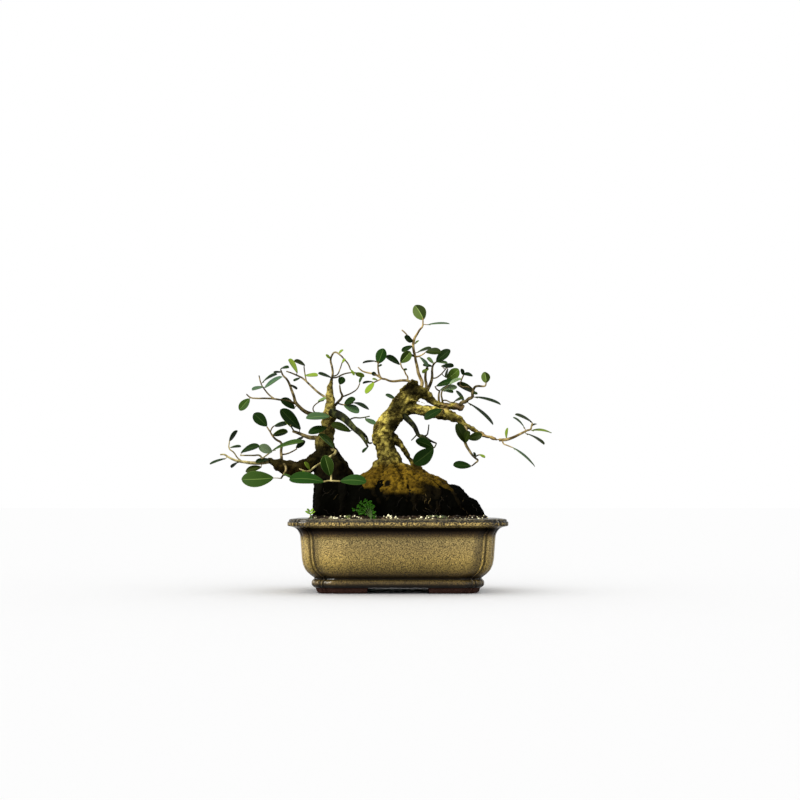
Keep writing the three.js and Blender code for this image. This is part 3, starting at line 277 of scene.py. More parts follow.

# %% [markdown]
# ## The glaze
# The pot is stoneware, pressed in a mould and dipped in a khaki ash glaze. Iron in the clay
# burns through the glaze as brown specks, and the skin is pitted as finely as orange peel.
# Under the rim and beside the belt the colour is nearly black: mostly painted shade, where the
# rim and the belt shade the body and the groove above the belt, and partly glaze that runs
# thick there. On top of the rim the glaze breaks to dark grey. The colour follows the height
# on the pot, slow noise drifts it, and grains multiply it: fine noise for the pits, a coarser
# one that mottles the rim, and Voronoi cells for the specks. A point attribute says where
# glaze has run into a hollow or thinned over an edge; the colour darkens in those hollows and
# lightens on those edges, partly for the real glaze and partly as painted shade in the grooves
# and painted highlights on the beads. Glaze is glass, so it has an IOR of 1.5, but its ash
# dulls the shine; under the rim the shine is turned down further, which keeps the painted
# shade there dark.

# %% Glazed stoneware
PIT_SPACING = 1.1 * MM
SPECK_SPACING = 1.7 * MM
SKIN_GRAIN = 1.6 * MM
RIM_MOTTLE = 2.2 * MM
RIM_FROM, RIM_FULL = 0.876, 0.888
RIM_END_START = 82 * MM
RIM_END_FULL = 106 * MM
DRIFT_LENGTH = 40 * MM
POT_HEIGHT = 86.2

glaze, tree, shader = new_material("khaki_glazed_stoneware")
where = add_node(tree, "ShaderNodeTexCoord").outputs["Object"]
glaze_place = add_node(tree, "ShaderNodeSeparateXYZ", {0: where})
by_height = add_node(
    tree, "ShaderNodeMapRange",
    {"Value": glaze_place.outputs["Z"], "From Min": 0.0, "From Max": POT_HEIGHT * MM},
)
# The near-black stops are painted shade over darker, thicker glaze: under the belt (0.085 to 0.115), in the
# groove above it (0.192) and under the rim (0.765 to 0.875).
belly_and_painted_shade = add_node(
    tree, "ShaderNodeValToRGB", {0: by_height.outputs[0]},
    stops=[
        (0.085, "#050402"), (0.115, "#1C150A"), (0.14, "#40341A"), (0.168, "#463A1E"), (0.192, "#080502"),
        (0.225, "#20180A"), (0.265, "#4A3C1C"), (0.32, "#625329"), (0.42, "#6A5A2E"), (0.62, "#73633A"),
        (0.7, "#7C6C41"), (0.735, "#6E5F35"), (0.765, "#4A3B1C"), (0.8, "#251A09"), (0.838, "#0A0502"),
        (0.875, "#060301"), (0.89, "#5A4D2D"), (0.94, "#62542F"), (0.957, "#0C0A06"), (0.97, "#29251A"),
        (0.985, "#38321F"),
    ],
)
drift = add_node(
    tree, "ShaderNodeTexNoise", {"Vector": where, "Scale": 1 / DRIFT_LENGTH, "Detail": 4.0, "Roughness": 0.6},
)
slow = add_node(
    tree, "ShaderNodeMapRange",
    {"Value": drift.outputs["Fac"], "From Min": 0.3, "From Max": 0.7, "To Min": 0.9, "To Max": 1.1},
)
drifted = add_node(
    tree, "ShaderNodeMix", {0: 1.0, 6: belly_and_painted_shade.outputs[0], 7: slow.outputs[0]},
    data_type="RGBA", blend_type="MULTIPLY",
)
pits = add_node(
    tree, "ShaderNodeTexNoise", {"Vector": where, "Scale": 1 / PIT_SPACING, "Detail": 2.0, "Roughness": 0.6},
)
pit_tone = add_node(
    tree, "ShaderNodeMapRange",
    {"Value": pits.outputs["Fac"], "From Min": 0.32, "From Max": 0.68, "To Min": 0.0, "To Max": 2.1},
)
pitted = add_node(
    tree, "ShaderNodeMix", {0: 1.0, 6: drifted.outputs[2], 7: pit_tone.outputs[0]},
    data_type="RGBA", blend_type="MULTIPLY",
)
near_rim = add_node(
    tree, "ShaderNodeMapRange",
    {"Value": by_height.outputs[0], "From Min": RIM_FROM, "From Max": RIM_FULL},
)
mottle = add_node(
    tree, "ShaderNodeTexNoise", {"Vector": where, "Scale": 1 / RIM_MOTTLE, "Detail": 2.0, "Roughness": 0.6},
)
mottle_tone = add_node(
    tree, "ShaderNodeMapRange",
    {"Value": mottle.outputs["Fac"], "From Min": 0.36, "From Max": 0.64, "To Min": 0.05, "To Max": 2.1},
)
mottled = add_node(
    tree, "ShaderNodeMix", {0: near_rim.outputs[0], 6: pitted.outputs[2], 7: mottle_tone.outputs[0]},
    data_type="RGBA", blend_type="MULTIPLY",
)
# The ends of the rim are darker.
off_middle = add_node(
    tree, "ShaderNodeMath", {0: glaze_place.outputs["X"], 1: POT_MIDDLE}, operation="SUBTRACT",
)
to_end = add_node(tree, "ShaderNodeMath", {0: off_middle.outputs[0]}, operation="ABSOLUTE")
end_tone = add_node(
    tree, "ShaderNodeMapRange",
    {
        "Value": to_end.outputs[0], "From Min": RIM_END_START, "From Max": RIM_END_FULL,
        "To Min": 1.0, "To Max": 0.42,
    },
)
rim_ends_darkened = add_node(
    tree, "ShaderNodeMix", {0: near_rim.outputs[0], 6: mottled.outputs[2], 7: end_tone.outputs[0]},
    data_type="RGBA", blend_type="MULTIPLY",
)
speck_cells = add_node(
    tree, "ShaderNodeTexVoronoi", {"Vector": where, "Scale": 1 / SPECK_SPACING, "Randomness": 1.0},
)
speck_mask = add_node(
    tree, "ShaderNodeMapRange",
    {"Value": speck_cells.outputs["Distance"], "From Min": 0.42, "From Max": 0.22, "To Max": 0.6},
)
specked = add_node(
    tree, "ShaderNodeMix", {0: speck_mask.outputs[0], 6: rim_ends_darkened.outputs[2], 7: rgb("#6A5030")},
    data_type="RGBA", blend_type="MULTIPLY",
)
# Darker in the grooves and lighter on the edges: partly the real glaze, partly painted shade in the grooves
# and painted highlights on the beads.
pool = add_node(tree, "ShaderNodeAttribute", attribute_name="glaze_pool_and_painted_relief").outputs["Fac"]
relief_gain = add_node(
    tree, "ShaderNodeMapRange",
    {"Value": pool, "From Min": -0.12, "From Max": 0.12, "To Min": 1.2, "To Max": 0.5},
)
pooled_and_relief_painted = add_node(
    tree, "ShaderNodeMix", {0: 1.0, 6: specked.outputs[2], 7: relief_gain.outputs[0]},
    data_type="RGBA", blend_type="MULTIPLY",
)
tree.links.new(pooled_and_relief_painted.outputs[2], shader.inputs["Base Color"])
shader.inputs["IOR"].default_value = 1.5
shader.inputs["Roughness"].default_value = 0.3
# Under the rim the shine is turned down, which keeps the painted shade there dark.
sheen = add_node(
    tree, "ShaderNodeValToRGB", {0: by_height.outputs[0]},
    stops=[(0.76, "#888888"), (0.84, "#2A2A2A"), (RIM_FROM, "#2A2A2A"), (0.89, "#888888")],
)
tree.links.new(sheen.outputs[0], shader.inputs["Specular IOR Level"])
skin = add_node(tree, "ShaderNodeTexNoise", {"Vector": where, "Scale": 1 / SKIN_GRAIN, "Detail": 2.0})
bump = add_node(
    tree, "ShaderNodeBump", {"Height": skin.outputs["Fac"], "Strength": 0.3, "Distance": 0.25 * MM},
)
tree.links.new(bump.outputs[0], shader.inputs["Normal"])

# %% [markdown]
# The feet and the underside aren't dipped, because glaze would stick to the kiln shelf. They
# show the bare reddish clay, dry and a little gritty.

# %% Bare fired clay
GRIT = 0.8 * MM

clay, tree, shader = new_material("bare_fired_clay")
where = add_node(tree, "ShaderNodeTexCoord").outputs["Object"]
grit = add_node(tree, "ShaderNodeTexNoise", {"Vector": where, "Scale": 1 / GRIT, "Detail": 3.0})
tone = add_node(
    tree, "ShaderNodeValToRGB", {0: grit.outputs["Fac"]},
    stops=[(0.3, "#170D0A"), (0.5, "#2E1B15"), (0.72, "#46302A")],
)
tree.links.new(tone.outputs[0], shader.inputs["Base Color"])
shader.inputs["Roughness"].default_value = 0.85
shader.inputs["Specular IOR Level"].default_value = 0.06
bump = add_node(
    tree, "ShaderNodeBump", {"Height": grit.outputs["Fac"], "Strength": 0.4, "Distance": 0.3 * MM},
)
tree.links.new(bump.outputs[0], shader.inputs["Normal"])

# %% [markdown]
# ## The pot's body
# In plan the pot is an oblong whose corners are drawn in. Each long panel ends in a wide
# return, then comes a groove, a thin upright bead, another groove and the quarter-round lobe
# of the corner. One corner is written as key points, smoothed by a Catmull-Rom curve and
# mirrored to the other three. The side view is a list of heights, each with its distance in
# from the rim's edge and with how deep the corner's grooves are there. A circle is shaped to
# the first ring and extruded ring by ring, up the inside, over the rim and down the outside,
# which is how the shape would be pulled by hand.

# %% Plan of the pot
RIM_WIDTH = 254
RIM_DEPTH = 190
LOBE_CENTRE = 11.5
LOBE_RADIUS = 7.8
PLAIN_CORNER = 12
PLAIN_STRETCH = 0.25
CORNER_STEPS = 4
LONGEST_SPAN = 30
SIDE_STEPS = 8


def lobe(degrees):
    """A point of the corner's quarter-round lobe, in from the short and the long side."""
    angle = math.radians(degrees)
    return (LOBE_CENTRE - LOBE_RADIUS * math.sin(angle), LOBE_CENTRE - LOBE_RADIUS * math.cos(angle))


HALF_CORNER = [
    (30, 0), (27.5, 0.3), (25, 1.1), (22.5, 2.2), (20.5, 3.2), (18.4, 3.9), (16.8, 4.4), (15.8, 4.3), (15, 3),
    (14.2, 2.3), (13.4, 2.7), (12.8, 4.6), (11.9, 5.2), (10.9, 4.5), lobe(18), lobe(31),
]
KEY_CORNER = [*HALF_CORNER, lobe(45), *[(v, u) for u, v in reversed(HALF_CORNER)]]


def smooth_corner(relief):
    """The corner's points in plan, from a plain round one at relief 0 to the lobed one at 1."""
    grown = 1 + PLAIN_STRETCH * (1 - relief)
    keys = []
    for step, (u, v) in enumerate(KEY_CORNER):
        angle = step / (len(KEY_CORNER) - 1) * math.pi / 2
        plain = (PLAIN_CORNER * (1 - math.sin(angle)), PLAIN_CORNER * (1 - math.cos(angle)))
        keys.append(Vector((
            plain[0] + (u * grown - plain[0]) * relief,
            plain[1] + (v * grown - plain[1]) * relief,
        )))
    path = []
    for step in range(len(keys) - 1):
        before = keys[max(step - 1, 0)]
        start, end = keys[step], keys[step + 1]
        after = keys[min(step + 2, len(keys) - 1)]
        parts = CORNER_STEPS if step % 2 else 2
        for part in range(parts):
            t = part / parts
            path.append(
                0.5 * (2 * start + (end - before) * t + (2 * before - 5 * start + 4 * end - after) * t * t
                       + (3 * start - before - 3 * end + after) * t ** 3)
            )
    return [*path, keys[-1]]


def pot_ring(z, inset, relief):
    """One closed ring of the pot's plan at that height, counterclockwise from above."""
    corner = smooth_corner(relief)
    half_x, half_y = RIM_WIDTH / 2 - inset, RIM_DEPTH / 2 - inset
    ring = []
    for sx, sy, turned in ((-1, -1, True), (1, -1, False), (1, 1, True), (-1, 1, False)):
        points = reversed(corner) if turned else corner
        ring.extend((sx * (half_x - p.x), sy * (half_y - p.y)) for p in points)
    filled = []
    for number, start in enumerate(ring):
        end = ring[(number + 1) % len(ring)]
        filled.append(start)
        if math.dist(start, end) > LONGEST_SPAN:
            filled.extend(
                tuple(a + (b - a) * step / SIDE_STEPS for a, b in zip(start, end))
                for step in range(1, SIDE_STEPS)
            )
    return [at(x, y, z) for x, y in filled]


# %% Side view of the pot
POT_RINGS = [
    (14, 38, 0), (15.2, 36, 0), (18, 33.8, 0), (24, 29.5, 0), (34, 24.8, 0), (48, 22, 0), (70, 21, 0),
    (84, 20.6, 0), (85.5, 20.2, 0), (86.1, 19, 0), (86.2, 12, 0.2), (86.1, 6, 0.5), (85.9, 3.6, 0.55),
    (85.4, 2.3, 0.55), (84.8, 1.7, 0.55), (84.1, 1.6, 0.55), (83.5, 1.6, 0.55), (83.1, 1.4, 0.55),
    (82.7, 0.6, 0.55), (82.3, 0.15, 0.55), (81.6, 0, 0.55), (79.2, 0, 0.55), (78.3, 0.2, 0.55),
    (77.7, 0.9, 0.56), (77.4, 2.4, 0.58), (76.8, 5, 0.64), (75.8, 7.4, 0.72), (74.5, 9.3, 0.8),
    (72.8, 10.8, 0.88), (70.4, 12.1, 0.95), (67, 13.4, 1), (59, 14.1, 1), (50, 14.7, 1), (40, 15.4, 1),
    (33, 16.7, 1), (27.4, 19, 1), (24, 21.5, 1), (21.4, 24.1, 1), (19.2, 26.7, 1), (18, 28.3, 0.95),
    (17.1, 29.2, 0.88), (16.2, 29.3, 0.8), (15.3, 28.4, 0.74), (14.5, 27.2, 0.7), (13.2, 26.6, 0.7),
    (11.3, 26.4, 0.7), (9.4, 26.6, 0.7), (8.2, 27.3, 0.67), (7.2, 28.3, 0.63), (6.5, 29.4, 0.6),
]


def pull_rings(name, rings):
    """A closed body from a filled circle shaped to the first ring and extruded to each next ring."""
    bpy.ops.object.select_all(action="DESELECT")
    bpy.ops.mesh.primitive_circle_add(vertices=len(rings[0]), radius=50 * MM, fill_type="NGON")
    obj = bpy.context.object
    obj.name = name
    order = obj.data.attributes.new("order", "INT", "POINT")
    order.data.foreach_set("value", range(len(rings[0])))
    bpy.ops.object.mode_set(mode="EDIT")
    bpy.ops.mesh.select_all(action="SELECT")
    for number, ring in enumerate(rings):
        if number:
            bpy.ops.mesh.extrude_region()
        mesh = bmesh.from_edit_mesh(obj.data)
        place_in_ring = mesh.verts.layers.int["order"]
        for vertex in mesh.verts:
            if vertex.select:
                vertex.co = ring[vertex[place_in_ring]]
    bpy.ops.mesh.select_all(action="SELECT")
    bpy.ops.mesh.normals_make_consistent(inside=False)
    bpy.ops.object.mode_set(mode="OBJECT")
    obj.data.attributes.remove(obj.data.attributes["order"])
    return obj


def join(name, parts):
    """Several objects as one, with every place baked into its mesh."""
    choose(*parts)
    bpy.ops.object.transform_apply(location=True, rotation=True, scale=True)
    if len(parts) > 1:
        bpy.ops.object.join()
    made = bpy.context.object
    made.name = name
    return made


# %% The pulled body
pot = pull_rings("pot_body", [pot_ring(*row) for row in POT_RINGS])
print("pot body rings:", len(POT_RINGS), "points a ring:", len(pot_ring(*POT_RINGS[0])))

# %% [markdown]
# The four feet start as one low ring under the belt. Two tapered bars, one each way, cut it
# into corner feet with slanted ends, as a potter's wire does, and a drill goes twice through
# the floor so that water can drain.

# %% Feet and drainage holes
FOOT_RINGS = [
    (7.2, 30.6, 0.5), (5.2, 31.2, 0.5), (2.2, 32.2, 0.5), (0.9, 33, 0.5), (0.2, 33.9, 0.5), (0, 35.2, 0.5),
]
FOOT_BREADTH = 15
FOOT_INSET = 30.5
FRONT_FOOT_SPACING = 71
SIDE_FOOT_SPACING = 52
FOOT_SLANT = 4
CUT_LOW, CUT_HIGH = -0.3, 7.5
CORE_LOW, CORE_HIGH = -1, 9
DRAIN_RADIUS = 8
DRAIN_PLACE = 55
DRILL_LENGTH = 30
DRILL_MIDDLE = 8
SHARP = math.radians(40)


def box_piece(name, width, depth, low, high, narrowing=0):
    """A box round the pot's middle axis, whose top may be narrower than its bottom."""
    bpy.ops.object.select_all(action="DESELECT")
    bpy.ops.mesh.primitive_cube_add(size=1)
    obj = bpy.context.object
    obj.name = name
    for corner in obj.data.vertices:
        top = corner.co.z > 0
        along = width - narrowing if top else width
        corner.co = at(corner.co.x * along, corner.co.y * depth, high if top else low)
    return obj


def cut(obj, cutter):
    """Take the cutter's shape out of the object."""
    apply_modifier(obj, "BOOLEAN", operation="DIFFERENCE", solver="EXACT", object=cutter)
    bpy.data.objects.remove(cutter)


feet = pull_rings("feet", [pot_ring(*row) for row in FOOT_RINGS])
feet_in = 2 * (FOOT_INSET + FOOT_BREADTH)
cut(feet, box_piece("core_cutter", RIM_WIDTH - feet_in, RIM_DEPTH - feet_in, CORE_LOW, CORE_HIGH))
front_width = FRONT_FOOT_SPACING + FOOT_SLANT / 2
side_width = SIDE_FOOT_SPACING + FOOT_SLANT / 2
cut(feet, box_piece("front_cutter", front_width, RIM_DEPTH, CUT_LOW, CUT_HIGH, FOOT_SLANT))
side_cutter = box_piece("side_cutter", side_width, RIM_WIDTH, CUT_LOW, CUT_HIGH, FOOT_SLANT)
for corner in side_cutter.data.vertices:
    x, y = corner.co.x - POT_MIDDLE, corner.co.y
    corner.co.x, corner.co.y = POT_MIDDLE - y, x
cut(feet, side_cutter)
apply_modifier(feet, "BEVEL", width=0.7 * MM, segments=3, limit_method="ANGLE", angle_limit=SHARP)
for x in (-DRAIN_PLACE, DRAIN_PLACE):
    bpy.ops.object.select_all(action="DESELECT")
    bpy.ops.mesh.primitive_cylinder_add(
        vertices=48, radius=DRAIN_RADIUS * MM, depth=DRILL_LENGTH * MM, location=at(x, 0, DRILL_MIDDLE),
    )
    cut(pot, bpy.context.object)
pot = join("pot_body", [pot, feet])
choose(pot)
bpy.ops.object.shade_smooth_by_angle(angle=SHARP)

# %% [markdown]
# Melted glaze runs into the grooves beside the beads and thins over their edges, and the
# colour drawn from this is also painted shade in the grooves and painted highlights on the
# beads. Each point is compared with its neighbours of the same height, so the ledges of the
# side view don't count.

# %% Where the glaze pools
POOL_ROUNDS = 5
POOL_REACH = 0.6
LEVEL = 0.02 * MM
SHALLOW = 0.05

pools = hollows_of(pot.data, POOL_ROUNDS, steepest=LEVEL)
pools = [max(-POOL_REACH, min(POOL_REACH, pool)) for pool in pools]
pot.data.attributes.new("glaze_pool_and_painted_relief", "FLOAT", "POINT").data.foreach_set("value", pools)
print("points in a pool:", sum(pool > SHALLOW for pool in pools))
print("points on an edge:", sum(pool < -SHALLOW for pool in pools))

# %% [markdown]
# The glaze stops just above the feet, so the faces below that line get the bare clay.

# %% Pot finish
GLAZE_LINE = 6.8
settle(pot, "glazed_pot", "pot", "glazed_stoneware", glaze, clay)
for face in pot.data.polygons:
    face.material_index = 1 if face.center.z < GLAZE_LINE * MM else 0

# %% [markdown]
# ## The drainage meshes
# A square of black plastic net lies over each hole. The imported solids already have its
# shape, so they stay and only get their finish: moulded polyethylene, dull and slightly
# uneven, with dust from the soil.

# %% Plastic net
net_plastic = speckled_material(
    "moulded_black_polyethylene", 3, 3.0, [(0.4, "#16160F"), (0.75, "#3A352B")], 0.6,
)
for node in ("drainage_mesh_left", "drainage_mesh_right"):
    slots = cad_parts[node].data.materials
    slots.clear()
    slots.append(net_plastic)

# %% [markdown]
# ## The root ball
# Years in smaller pots have matted the roots and the old soil into a black, moist block.
# It is drawn as upright sections along the pot, each one a superellipse between a box and
# an oval, and the rings are pulled from left to right. Displace modifiers then roughen it
# three times: shallow lumps as wide as a finger, crumbs, and root-thin grain.

# %% Form of the root ball
BALL_BASE = 78
BALL_BOTTOM = 56
BALL_SHAPE = 2.7
UNDERCUT = 0.96
BALL_STATIONS = [
    (-101, 118, 30), (-97, 127, 40), (-86, 130, 49), (-68, 130, 53), (-50, 131, 55), (-30, 138, 57),
    (-12, 143, 58), (8, 141, 58), (28, 136.5, 57), (46, 130, 55), (60, 126.5, 52), (71, 125.5, 48),
    (78, 119, 44), (85, 111, 40), (94, 107, 34), (98.5, 98, 29), (104, 88, 22),
]


def ball_section(x):
    """The ridge's height and half the ball's depth at x."""
    inside = min(max(x, BALL_STATIONS[0][0]), BALL_STATIONS[-1][0])
    for (x0, ridge0, half0), (x1, ridge1, half1) in zip(BALL_STATIONS, BALL_STATIONS[1:]):
        if inside <= x1:
            share = (inside - x0) / (x1 - x0)
            return ridge0 + (ridge1 - ridge0) * share, half0 + (half1 - half0) * share
    return BALL_STATIONS[-1][1:]


def ball_top(x, y):
    """The height of the ball's skin over a point of the plan."""
    ridge, half = ball_section(x)
    out = min(1, abs(y) / half)
    return BALL_BASE + (ridge - BALL_BASE) * (1 - out ** BALL_SHAPE) ** (1 / BALL_SHAPE)


def ball_front(x, z):
    """The depth of the ball's front face at a height, negative towards the front."""
    ridge, half = ball_section(x)
    up = min(max((z - BALL_BASE) / (ridge - BALL_BASE), 0), 0.999)
    return -half * (1 - up ** BALL_SHAPE) ** (1 / BALL_SHAPE)


def ball_ring(x, shrink=1.0, sink=0.0, turns=56, under=20):
    """One upright section of the ball: over the top by its superellipse, back underneath."""
    ridge, half = ball_section(x)
    ring = []
    for step in range(turns + 1):
        angle = math.pi * step / turns
        y = half * math.copysign(abs(math.cos(angle)) ** (2 / BALL_SHAPE), math.cos(angle))
        rise = (ridge - BALL_BASE - sink) * math.sin(angle) ** (2 / BALL_SHAPE)
        ring.append((y * shrink, BALL_BASE + rise))
    for step in range(1, under):
        share = step / under
        depth = BALL_BASE - (BALL_BASE - BALL_BOTTOM) * min(1, 4 * share, 4 - 4 * share)
        ring.append((half * shrink * (2 * share - 1) * UNDERCUT, depth))
    return [at(x, y, z) for y, z in ring]


BALL_STEP = 1.9
BALL_START, BALL_END = BALL_STATIONS[0][0], BALL_STATIONS[-1][0]
LEFT_END_RINGS = [(0.4, 0.72, 9), (0.8, 0.88, 4)]
RIGHT_END_RINGS = [(0.6, 0.8, 2)]
steps = round((BALL_END - BALL_START) / BALL_STEP)
ball_rings = [ball_ring(BALL_START + out, shrink, sink) for out, shrink, sink in LEFT_END_RINGS]
ball_rings += [
    ball_ring(BALL_START + (BALL_END - BALL_START) * step / steps) for step in range(1, steps + 1)
]
ball_rings += [ball_ring(BALL_END + out, shrink, sink) for out, shrink, sink in RIGHT_END_RINGS]
root_ball = pull_rings("root_ball_mat", ball_rings)


def cloud_texture(name, size, kind="CLOUDS", **settings):
    """A legacy noise texture of that size in millimetres for Displace modifiers."""
    texture = bpy.data.textures.new(name, kind)
    texture.noise_scale = size * MM
    for setting, value in settings.items():
        setattr(texture, setting, value)
    return texture


def roughen(obj, texture, depth, middle=0.5):
    """Push the surface in and out by the texture, by depth millimetres in all."""
    apply_modifier(
        obj, "DISPLACE", texture=texture, strength=depth * MM, mid_level=middle, texture_coords="LOCAL",
    )


lumps = cloud_texture("finger_lumps", 11, noise_depth=2)
crumbs = cloud_texture("soil_crumbs", 3.6, noise_depth=2)
grain = cloud_texture("root_grain", 1.5, noise_depth=1)
apply_modifier(root_ball, "SUBSURF", levels=1, render_levels=1)
roughen(root_ball, lumps, 3)
roughen(root_ball, crumbs, 2.6)
roughen(root_ball, grain, 1.4)

# %% [markdown]
# Wet peat and dead roots drink up nearly all light: black-brown, with a few greyer crumbs
# and no shine.

# %% Old root soil
old_soil, tree, shader = new_material("matted_roots_and_peat")
where = add_node(tree, "ShaderNodeTexCoord").outputs["Object"]
patches = add_node(tree, "ShaderNodeTexNoise", {"Vector": where, "Scale": 1 / (14 * MM), "Detail": 3.0})
fibres = add_node(tree, "ShaderNodeTexNoise", {"Vector": where, "Scale": 1 / (1.2 * MM), "Detail": 3.0})
ground = add_node(
    tree, "ShaderNodeValToRGB", {0: patches.outputs["Fac"]},
    stops=[(0.4, "#010100"), (0.65, "#020201"), (0.85, "#050402")],
)
flecks = add_node(
    tree, "ShaderNodeMapRange",
    {"Value": fibres.outputs["Fac"], "From Min": 0.64, "From Max": 0.82, "To Max": 0.25},
)
mixed = add_node(
    tree, "ShaderNodeMix", {0: flecks.outputs[0], 6: ground.outputs[0], 7: rgb("#14120A")}, data_type="RGBA",
)
tree.links.new(mixed.outputs[2], shader.inputs["Base Color"])
shader.inputs["Roughness"].default_value = 0.95
shader.inputs["Specular IOR Level"].default_value = 0.01
settle(root_ball, "matted_root_ball", "root_ball", "old_root_soil", old_soil)
choose(root_ball)
bpy.ops.object.shade_smooth()

# %% [markdown]
# ## The fresh soil
# The space round the ball is topped up with a loose mix. The bed is pulled in rings too: up
# the inside of the pot and then inwards over the surface, which is nearly level at the rim
# and banked up against the ball.

# %% Soil bed
SOIL_LEVEL = 82.5
SOIL_BANK = 7
BANK_REACH = 9
SWELL_HEIGHT = 1.1
SWELL_LENGTH = 16
INSIDE_CORNER = 15
LONG_SIDE_STEPS = 70
SHORT_SIDE_STEPS = 46
SOIL_SIDES = [(14.6, 38.4), (17, 35), (24, 30), (34, 25.3), (48, 22.6), (70, 21.4), (79, 21.2)]
SOIL_POINTS = 96
SOIL_INSETS = [21.2, 22.4] + [22.4 + 1.7 * step for step in range(1, 25)]


def soil_top(x, y):
    """The height of the soil: nearly level by the rim and banked up against the ball."""
    half = ball_section(x)[1]
    out_x = max(0, BALL_START - x, x - BALL_END)
    away = math.hypot(max(0, abs(y) - half), out_x)
    swell = noise.noise(Vector((x, y, 0)) / SWELL_LENGTH)
    return SOIL_LEVEL + SOIL_BANK * math.exp(-away / BANK_REACH) + SWELL_HEIGHT * swell


def inside_ring(inset, height):
    """A ring of the pot's inside plan: straight sides with round corners."""
    half_x, half_y = RIM_WIDTH / 2 - inset, RIM_DEPTH / 2 - inset
    radius = min(INSIDE_CORNER, half_y * 0.7)
    ring = []
    for quarter, (sx, sy) in enumerate(((1, -1), (1, 1), (-1, 1), (-1, -1))):
        for step in range(SOIL_POINTS // 4 + 1):
            angle = math.radians(90 * quarter - 90 + 90 * step / (SOIL_POINTS // 4))
            x = sx * (half_x - radius) + radius * math.cos(angle)
            y = sy * (half_y - radius) + radius * math.sin(angle)
            ring.append((x, y))
        nx, ny = ((1, 1), (-1, 1), (-1, -1), (1, -1))[quarter]
        sides = LONG_SIDE_STEPS if quarter % 2 else SHORT_SIDE_STEPS
        end_x = nx * (half_x - radius) + (radius * (1, 0, -1, 0)[quarter])
        end_y = ny * (half_y - radius) + (radius * (0, 1, 0, -1)[quarter])
        start_x, start_y = ring[-1]
        for step in range(1, sides):
            ring.append((
                start_x + (end_x - start_x) * step / sides,
                start_y + (end_y - start_y) * step / sides,
            ))
    return [at(x, y, height(x, y)) for x, y in ring]


soil_rings = [inside_ring(inset, lambda x, y, z=z: z) for z, inset in SOIL_SIDES]
soil_rings += [inside_ring(inset, soil_top) for inset in SOIL_INSETS]
soil_bed = pull_rings("soil_bed", soil_rings)
soil_grit = cloud_texture("soil_grit", 2.4, noise_depth=2)
roughen(soil_bed, soil_grit, 1.8)

# %% [markdown]
# Perlite and bark bits are modelled once each as a small stone and a splinter, and copied
# with a random turn, size and place. Random draws are seeded, so every run is the same.

# %% Grains
draws = random.Random(11)


def small_stone(name, subdivisions, uneven):
    """A faceted round stone of radius one millimetre."""
    bpy.ops.object.select_all(action="DESELECT")
    bpy.ops.mesh.primitive_ico_sphere_add(subdivisions=subdivisions, radius=1 * MM)
    obj = bpy.context.object
    obj.name = name
    for vertex in obj.data.vertices:
        vertex.co *= 1 + uneven * noise.noise(vertex.co / (0.9 * MM))
    return obj


def scatter(model, spots, name):
    """Copies of the model at the spots, each a matrix, joined as one object."""
    copies = []
    for spot in spots:
        obj = model.copy()
        obj.data = model.data.copy()
        obj.data.transform(spot)
        bpy.context.collection.objects.link(obj)
        copies.append(obj)
    bpy.data.objects.remove(model)
    return join(name, copies)


def grain_spot(x, y, size, flat=1.0, lift=0.35):
    """The matrix of a grain that lies half sunk in the soil at x, y."""
    turn = Matrix.Rotation(draws.uniform(0, 6.28), 4, "Z") @ Matrix.Rotation(draws.uniform(-0.5, 0.5), 4, "X")
    place_on = Matrix.Translation(at(x, y, soil_top(x, y) + lift * size))
    return place_on @ turn @ Matrix.Diagonal((size, size * draws.uniform(0.7, 1), size * flat, 1))


def bare_soil_spot(bank_share=1.0):
    """A point of the plan where the soil shows; bank_share thins out the bank by the ball."""
    while True:
        x = draws.uniform(-SOIL_HALF_LENGTH, SOIL_HALF_LENGTH)
        y = draws.uniform(-SOIL_HALF_DEPTH, SOIL_HALF_DEPTH)
        off = abs(y) - ball_section(x)[1]
        if (off > CLEAR_OF_BALL or x < LEFT_OF_BALL) and (off > BANK_WIDTH or draws.random() < bank_share):
            return x, y


SOIL_HALF_LENGTH = 104
SOIL_HALF_DEPTH = 73
CLEAR_OF_BALL = 0.5
LEFT_OF_BALL = -102
BANK_WIDTH = 9
BANK_PERLITE = 0.12
PERLITE_COUNT = 150
BARK_COUNT = 260
PERLITE_HEAPS = [
    (-108, -84, 9, 0.6, 1.1), (-84, -64, 12, 0.7, 1.3), (-62, -43, 6, 0.7, 1.2), (-28, 8, 11, 0.8, 1.7),
    (8, 50, 11, 0.7, 1.5), (52, 90, 6, 0.5, 1.1), (90, 106, 5, 0.5, 1.0),
]
perlite_spots = []
for number in range(PERLITE_COUNT):
    x, y = bare_soil_spot(BANK_PERLITE)
    perlite_spots.append(grain_spot(x, y, draws.uniform(0.6, 1.5)))
for heap_start, heap_end, count, smallest, largest in PERLITE_HEAPS:
    for number in range(count):
        x = draws.uniform(heap_start, heap_end)
        y = -ball_section(x)[1] - draws.uniform(0.5, 9)
        perlite_spots.append(grain_spot(x, y, draws.uniform(smallest, largest), lift=draws.uniform(0.2, 0.8)))
perlite = scatter(small_stone("perlite_stone", 2, 0.35), perlite_spots, "perlite")
bark_spots = []
for number in range(BARK_COUNT):
    x, y = bare_soil_spot()
    bark_spots.append(grain_spot(x, y, draws.uniform(0.9, 2.4), flat=0.4))
bark_bits = scatter(small_stone("bark_splinter", 1, 0.3), bark_spots, "bark_bits")

# %% [markdown]
# Moss has crept over the soil at the ball's right foot and in a few other damp spots. It
# grows in low round tufts, so it is a small stone again, flattened and set close together.

